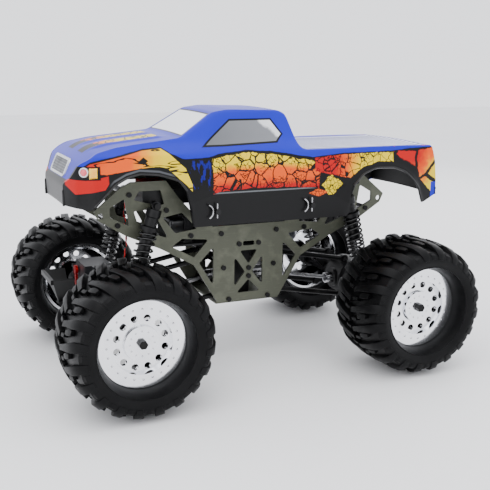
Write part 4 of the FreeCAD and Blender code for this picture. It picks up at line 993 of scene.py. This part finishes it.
class TRUCK_OT_stage(bpy.types.Operator):
    """Pale floor, three soft lights and the camera"""
    bl_idname = "truck.stage"
    bl_label = "Stage"

    def execute(self, context):
        settings = context.scene.truck_stage
        camera = bpy.data.objects.new("camera", bpy.data.cameras.new("camera"))
        camera.data.lens, camera.data.sensor_width = CAMERA_LENS, CAMERA_SENSOR
        camera.data.clip_start = 0.05
        turn = Matrix(CAMERA_AXES).transposed().to_4x4()
        camera.matrix_world = Matrix.Translation(CAMERA_PLACE) @ turn
        context.scene.collection.objects.link(camera)
        context.scene.camera = camera

        make = Finish("studio floor")
        make.layer([0.9, 0.9, 0.9, 1])
        make.layer([0.87, 0.87, 0.88, 1], make.noise(3, 2.0).above(0.5))
        paper = make.done(0.75, bump=make.noise(500, 2.0), depth=0.02)
        span = np.linspace(-FLOOR_HALF, FLOOR_HALF, FLOOR_LINES)
        floor = np.stack(np.meshgrid(span, span, [FLOOR_Z], indexing="ij"), -1)
        mesh = bpy.data.meshes.new("floor")
        mesh.from_pydata(floor.reshape(-1, 3) * MM, [],
                         grid_faces(FLOOR_LINES, FLOOR_LINES)[:, ::-1])
        mesh.materials.append(paper)
        ground = bpy.data.objects.new("floor", mesh)
        context.scene.collection.objects.link(ground)

        for name, setting, share, size, place in LAMPS:
            lamp = bpy.data.lights.new(name, "AREA")
            lamp.energy, lamp.size = getattr(settings, setting) * share, size
            holder = bpy.data.objects.new(name, lamp)
            holder.location = place
            aim = Vector((0, 0, 0.15)) - Vector(place)
            holder.rotation_euler = aim.to_track_quat("-Z", "Y").to_euler()
            context.scene.collection.objects.link(holder)
        world = bpy.data.worlds.new("studio")
        world.use_nodes = True
        sky = world.node_tree.nodes["Background"]
        sky.inputs["Color"].default_value = (0.95, 0.96, 1.0, 1)
        sky.inputs["Strength"].default_value = settings.sky
        context.scene.world = world
        return {"FINISHED"}


# Parts of a bright slot that are blackened on this truck.
DARKER_PARTS = {"stub_axle_left", "stub_axle_right", "rear_axle_shaft", "front_lower_links",
                "front_upper_links", "rear_lower_links", "rear_upper_links"}


class TRUCK_OT_finishes(bpy.types.Operator):
    """Every shown CAD part gets the finish of its material slot"""
    bl_idname = "truck.finishes"
    bl_label = "Part finishes"

    def execute(self, context):
        finishes = cad_finishes()
        for entry in frame["record"]["subparts"]:
            node, slot = entry["node"], entry["material_slot"]
            if slot in finishes:
                slot = "black_steel" if node in DARKER_PARTS else slot
                part = frame["nodes"][node]
                part.data.materials.clear()
                part.data.materials.append(finishes[slot])
        return {"FINISHED"}


class TRUCK_OT_shell(bpy.types.Operator):
    """The moulded and printed body shell with its rolled arch edges"""
    bl_idname = "truck.shell"
    bl_label = "Body shell"

    def execute(self, context):
        settings = context.scene.truck_paint
        sheet = shell_points(settings.shell_rows, settings.shell_wall, settings.shell_roof)
        inside = plain_finish("shell inside", (9, 9, 10), (24, 24, 26), 0.5, patch=30)
        skin = add_piece("shell_skin", [(sheet, False, False, 0)], "chassis",
                         [shell_paint(settings), inside], 50, ("body_shell",))
        wall = skin.modifiers.new("wall", "SOLIDIFY")
        wall.thickness, wall.offset, wall.material_offset = 1.0 * MM, -1.0, 1
        black = plain_finish("arch edging", (6, 6, 7), (20, 20, 22), 0.33, coat=0.3)
        edges = [arch_edge(points, side) for points in (FRONT_ARCH, REAR_ARCH) for side in (1, -1)]
        add_piece("arch_edges", edges, "chassis", [black])
        return {"FINISHED"}


class TRUCK_OT_nose(bpy.types.Operator):
    """Grille frame with its mesh, and the lamps at both front corners"""
    bl_idname = "truck.nose"
    bl_label = "Grille and lamps"

    def execute(self, context):
        silver = plain_finish("grille frame", (214, 216, 220), (180, 182, 186), 0.25, 0.8)
        mesh_grey = plain_finish("grille mesh", (112, 114, 118), (66, 68, 72), 0.4, 0.5,
                                 1800, 0.05)
        add_piece("grille", grille_surfaces(), "chassis", [silver, mesh_grey])
        red = plain_finish("red lens", (206, 44, 66), (232, 110, 120), 0.18, coat=1.0, grain=2500)
        amber = plain_finish("amber lens", (250, 196, 36), (246, 150, 30), 0.2, coat=1.0,
                             grain=2500, patch=150)
        white = plain_finish("lamp ring", (232, 234, 236), (205, 206, 208), 0.2, 0.3)
        for side, name in ((1, "left"), (-1, "right")):
            add_piece("lamp_" + name, lamp_surfaces(side), "chassis",
                      [white, red, amber])
        return {"FINISHED"}


# For each body with wheels: the end of its pieces' names, its own name, the place along the truck
# and side of each wheel, and the CAD tyre that the tread stands for.
WHEELS = [("front_left", "front_left_wheel", [(AXLE_X, 1)], "front_tyre_left"),
          ("front_right", "front_right_wheel", [(AXLE_X, -1)], "front_tyre_right"),
          ("rear", "rear_wheels", [(-AXLE_X, 1), (-AXLE_X, -1)], "rear_tyres")]


class TRUCK_OT_tyres(bpy.types.Operator):
    """Lugged tyres in place of the plain ones"""
    bl_idname = "truck.tyres"
    bl_label = "Tyres"

    def execute(self, context):
        settings = context.scene.truck_wheels
        rubber = tyre_rubber()
        for name, body, places, node in WHEELS:
            surfaces = []
            for x, hand in places:
                surfaces += tyre_surfaces((x, hand * WHEEL_Y, AXLE_Z), settings.lugs)
            add_piece("tread_" + name, surfaces, body, [rubber], 35, (node,))
        return {"FINISHED"}


# Rings of rivets on a rim: radius of the ring, how far it lies below the rim's edge, and the
# radius and height of a head (mm).
RIM_RING, HUB_RING = (35.5, 0, 1.1, 0.7), (12.5, 2, 0.9, 0.6)


class TRUCK_OT_rivets(bpy.types.Operator):
    """Rivet heads round each rim ring and hub disc"""
    bl_idname = "truck.rivets"
    bl_label = "Rim rivets"

    def execute(self, context):
        settings = context.scene.truck_wheels
        bright = plain_finish("rivet heads", (226, 227, 230), (190, 191, 196), 0.2, 1.0)
        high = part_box("front_rim_left")[1].y / MM - WHEEL_Y
        for name, body, places, _ in WHEELS:
            surfaces = []
            for x, hand in places:
                centre = (x, hand * WHEEL_Y, AXLE_Z)
                for total, (circle, sunk, radius, height) in (
                        (settings.rim_rivets, RIM_RING), (settings.hub_rivets, HUB_RING)):
                    surfaces.append(rivets(centre, hand, total, circle, high - sunk,
                                           radius, height))
            add_piece("rivets_" + name, surfaces, body, [bright])
        return {"FINISHED"}


class TRUCK_OT_springs(bpy.types.Operator):
    """Coil springs round the shocks, riding on the shocks' body"""
    bl_idname = "truck.springs"
    bl_label = "Coil springs"

    def execute(self, context):
        settings = context.scene.truck_springs
        finish = plain_finish(*PLAIN_FINISHES["spring_black"])
        for end, eyes in SHOCKS.items():
            piece = add_piece("coils_" + end, springs(end, settings.wire, settings.turns),
                              end + "_shocks", [finish], 60, (end + "_springs",))
            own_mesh(piece)
        return {"FINISHED"}


class TRUCK_OT_lead(bpy.types.Operator):
    """The steering servo's lead, a twisted pair"""
    bl_idname = "truck.lead"
    bl_label = "Servo lead"

    def execute(self, context):
        line = lead_line()
        red = plain_finish("red wire", (196, 24, 20), (150, 14, 14), 0.42)
        black = plain_finish("black wire", (18, 18, 18), (46, 46, 46), 0.42)
        piece = add_piece("servo_lead", [(strand(line, 0.0), False, True, 0),
                                         (strand(line, TURN / 2), False, True, 1)],
                          "chassis", [red, black], 60, ("servo_wire",))
        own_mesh(piece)
        return {"FINISHED"}


class TRUCK_PT_looks(bpy.types.Panel):
    """Every setting, and a button for each operator"""
    bl_label = "Truck looks"
    bl_space_type = "VIEW_3D"
    bl_region_type = "UI"
    bl_category = "Truck"

    def draw(self, context):
        for group in GROUPS:
            settings = getattr(context.scene, group)
            for name in settings.bl_rna.properties.keys():
                if name not in ("rna_type", "name"):
                    self.layout.prop(settings, name)
        for operator in OPERATORS:
            self.layout.operator(operator.bl_idname)


GROUPS = {"truck_paint": TruckPaintSettings, "truck_wheels": TruckWheelSettings,
          "truck_springs": TruckSpringSettings, "truck_stage": TruckStageSettings}
OPERATORS = [TRUCK_OT_stage, TRUCK_OT_lead, TRUCK_OT_finishes, TRUCK_OT_shell, TRUCK_OT_nose,
             TRUCK_OT_tyres, TRUCK_OT_rivets, TRUCK_OT_springs]


def register():
    """Makes the classes and the scene's settings known."""
    for entry in [*GROUPS.values(), *OPERATORS, TRUCK_PT_looks]:
        bpy.utils.register_class(entry)
    for name, group in GROUPS.items():
        setattr(bpy.types.Scene, name, bpy.props.PointerProperty(type=group))


def unregister():
    """Takes away what register added."""
    for name in GROUPS:
        delattr(bpy.types.Scene, name)
    for entry in reversed([*GROUPS.values(), *OPERATORS, TRUCK_PT_looks]):
        bpy.utils.unregister_class(entry)


def main():
    """Builds everything in order."""
    register()
    for operator in OPERATORS:
        family, name = operator.bl_idname.split(".")
        getattr(getattr(bpy.ops, family), name)()
    bpy.context.view_layer.update()


if __name__ == "__main__":
    main()
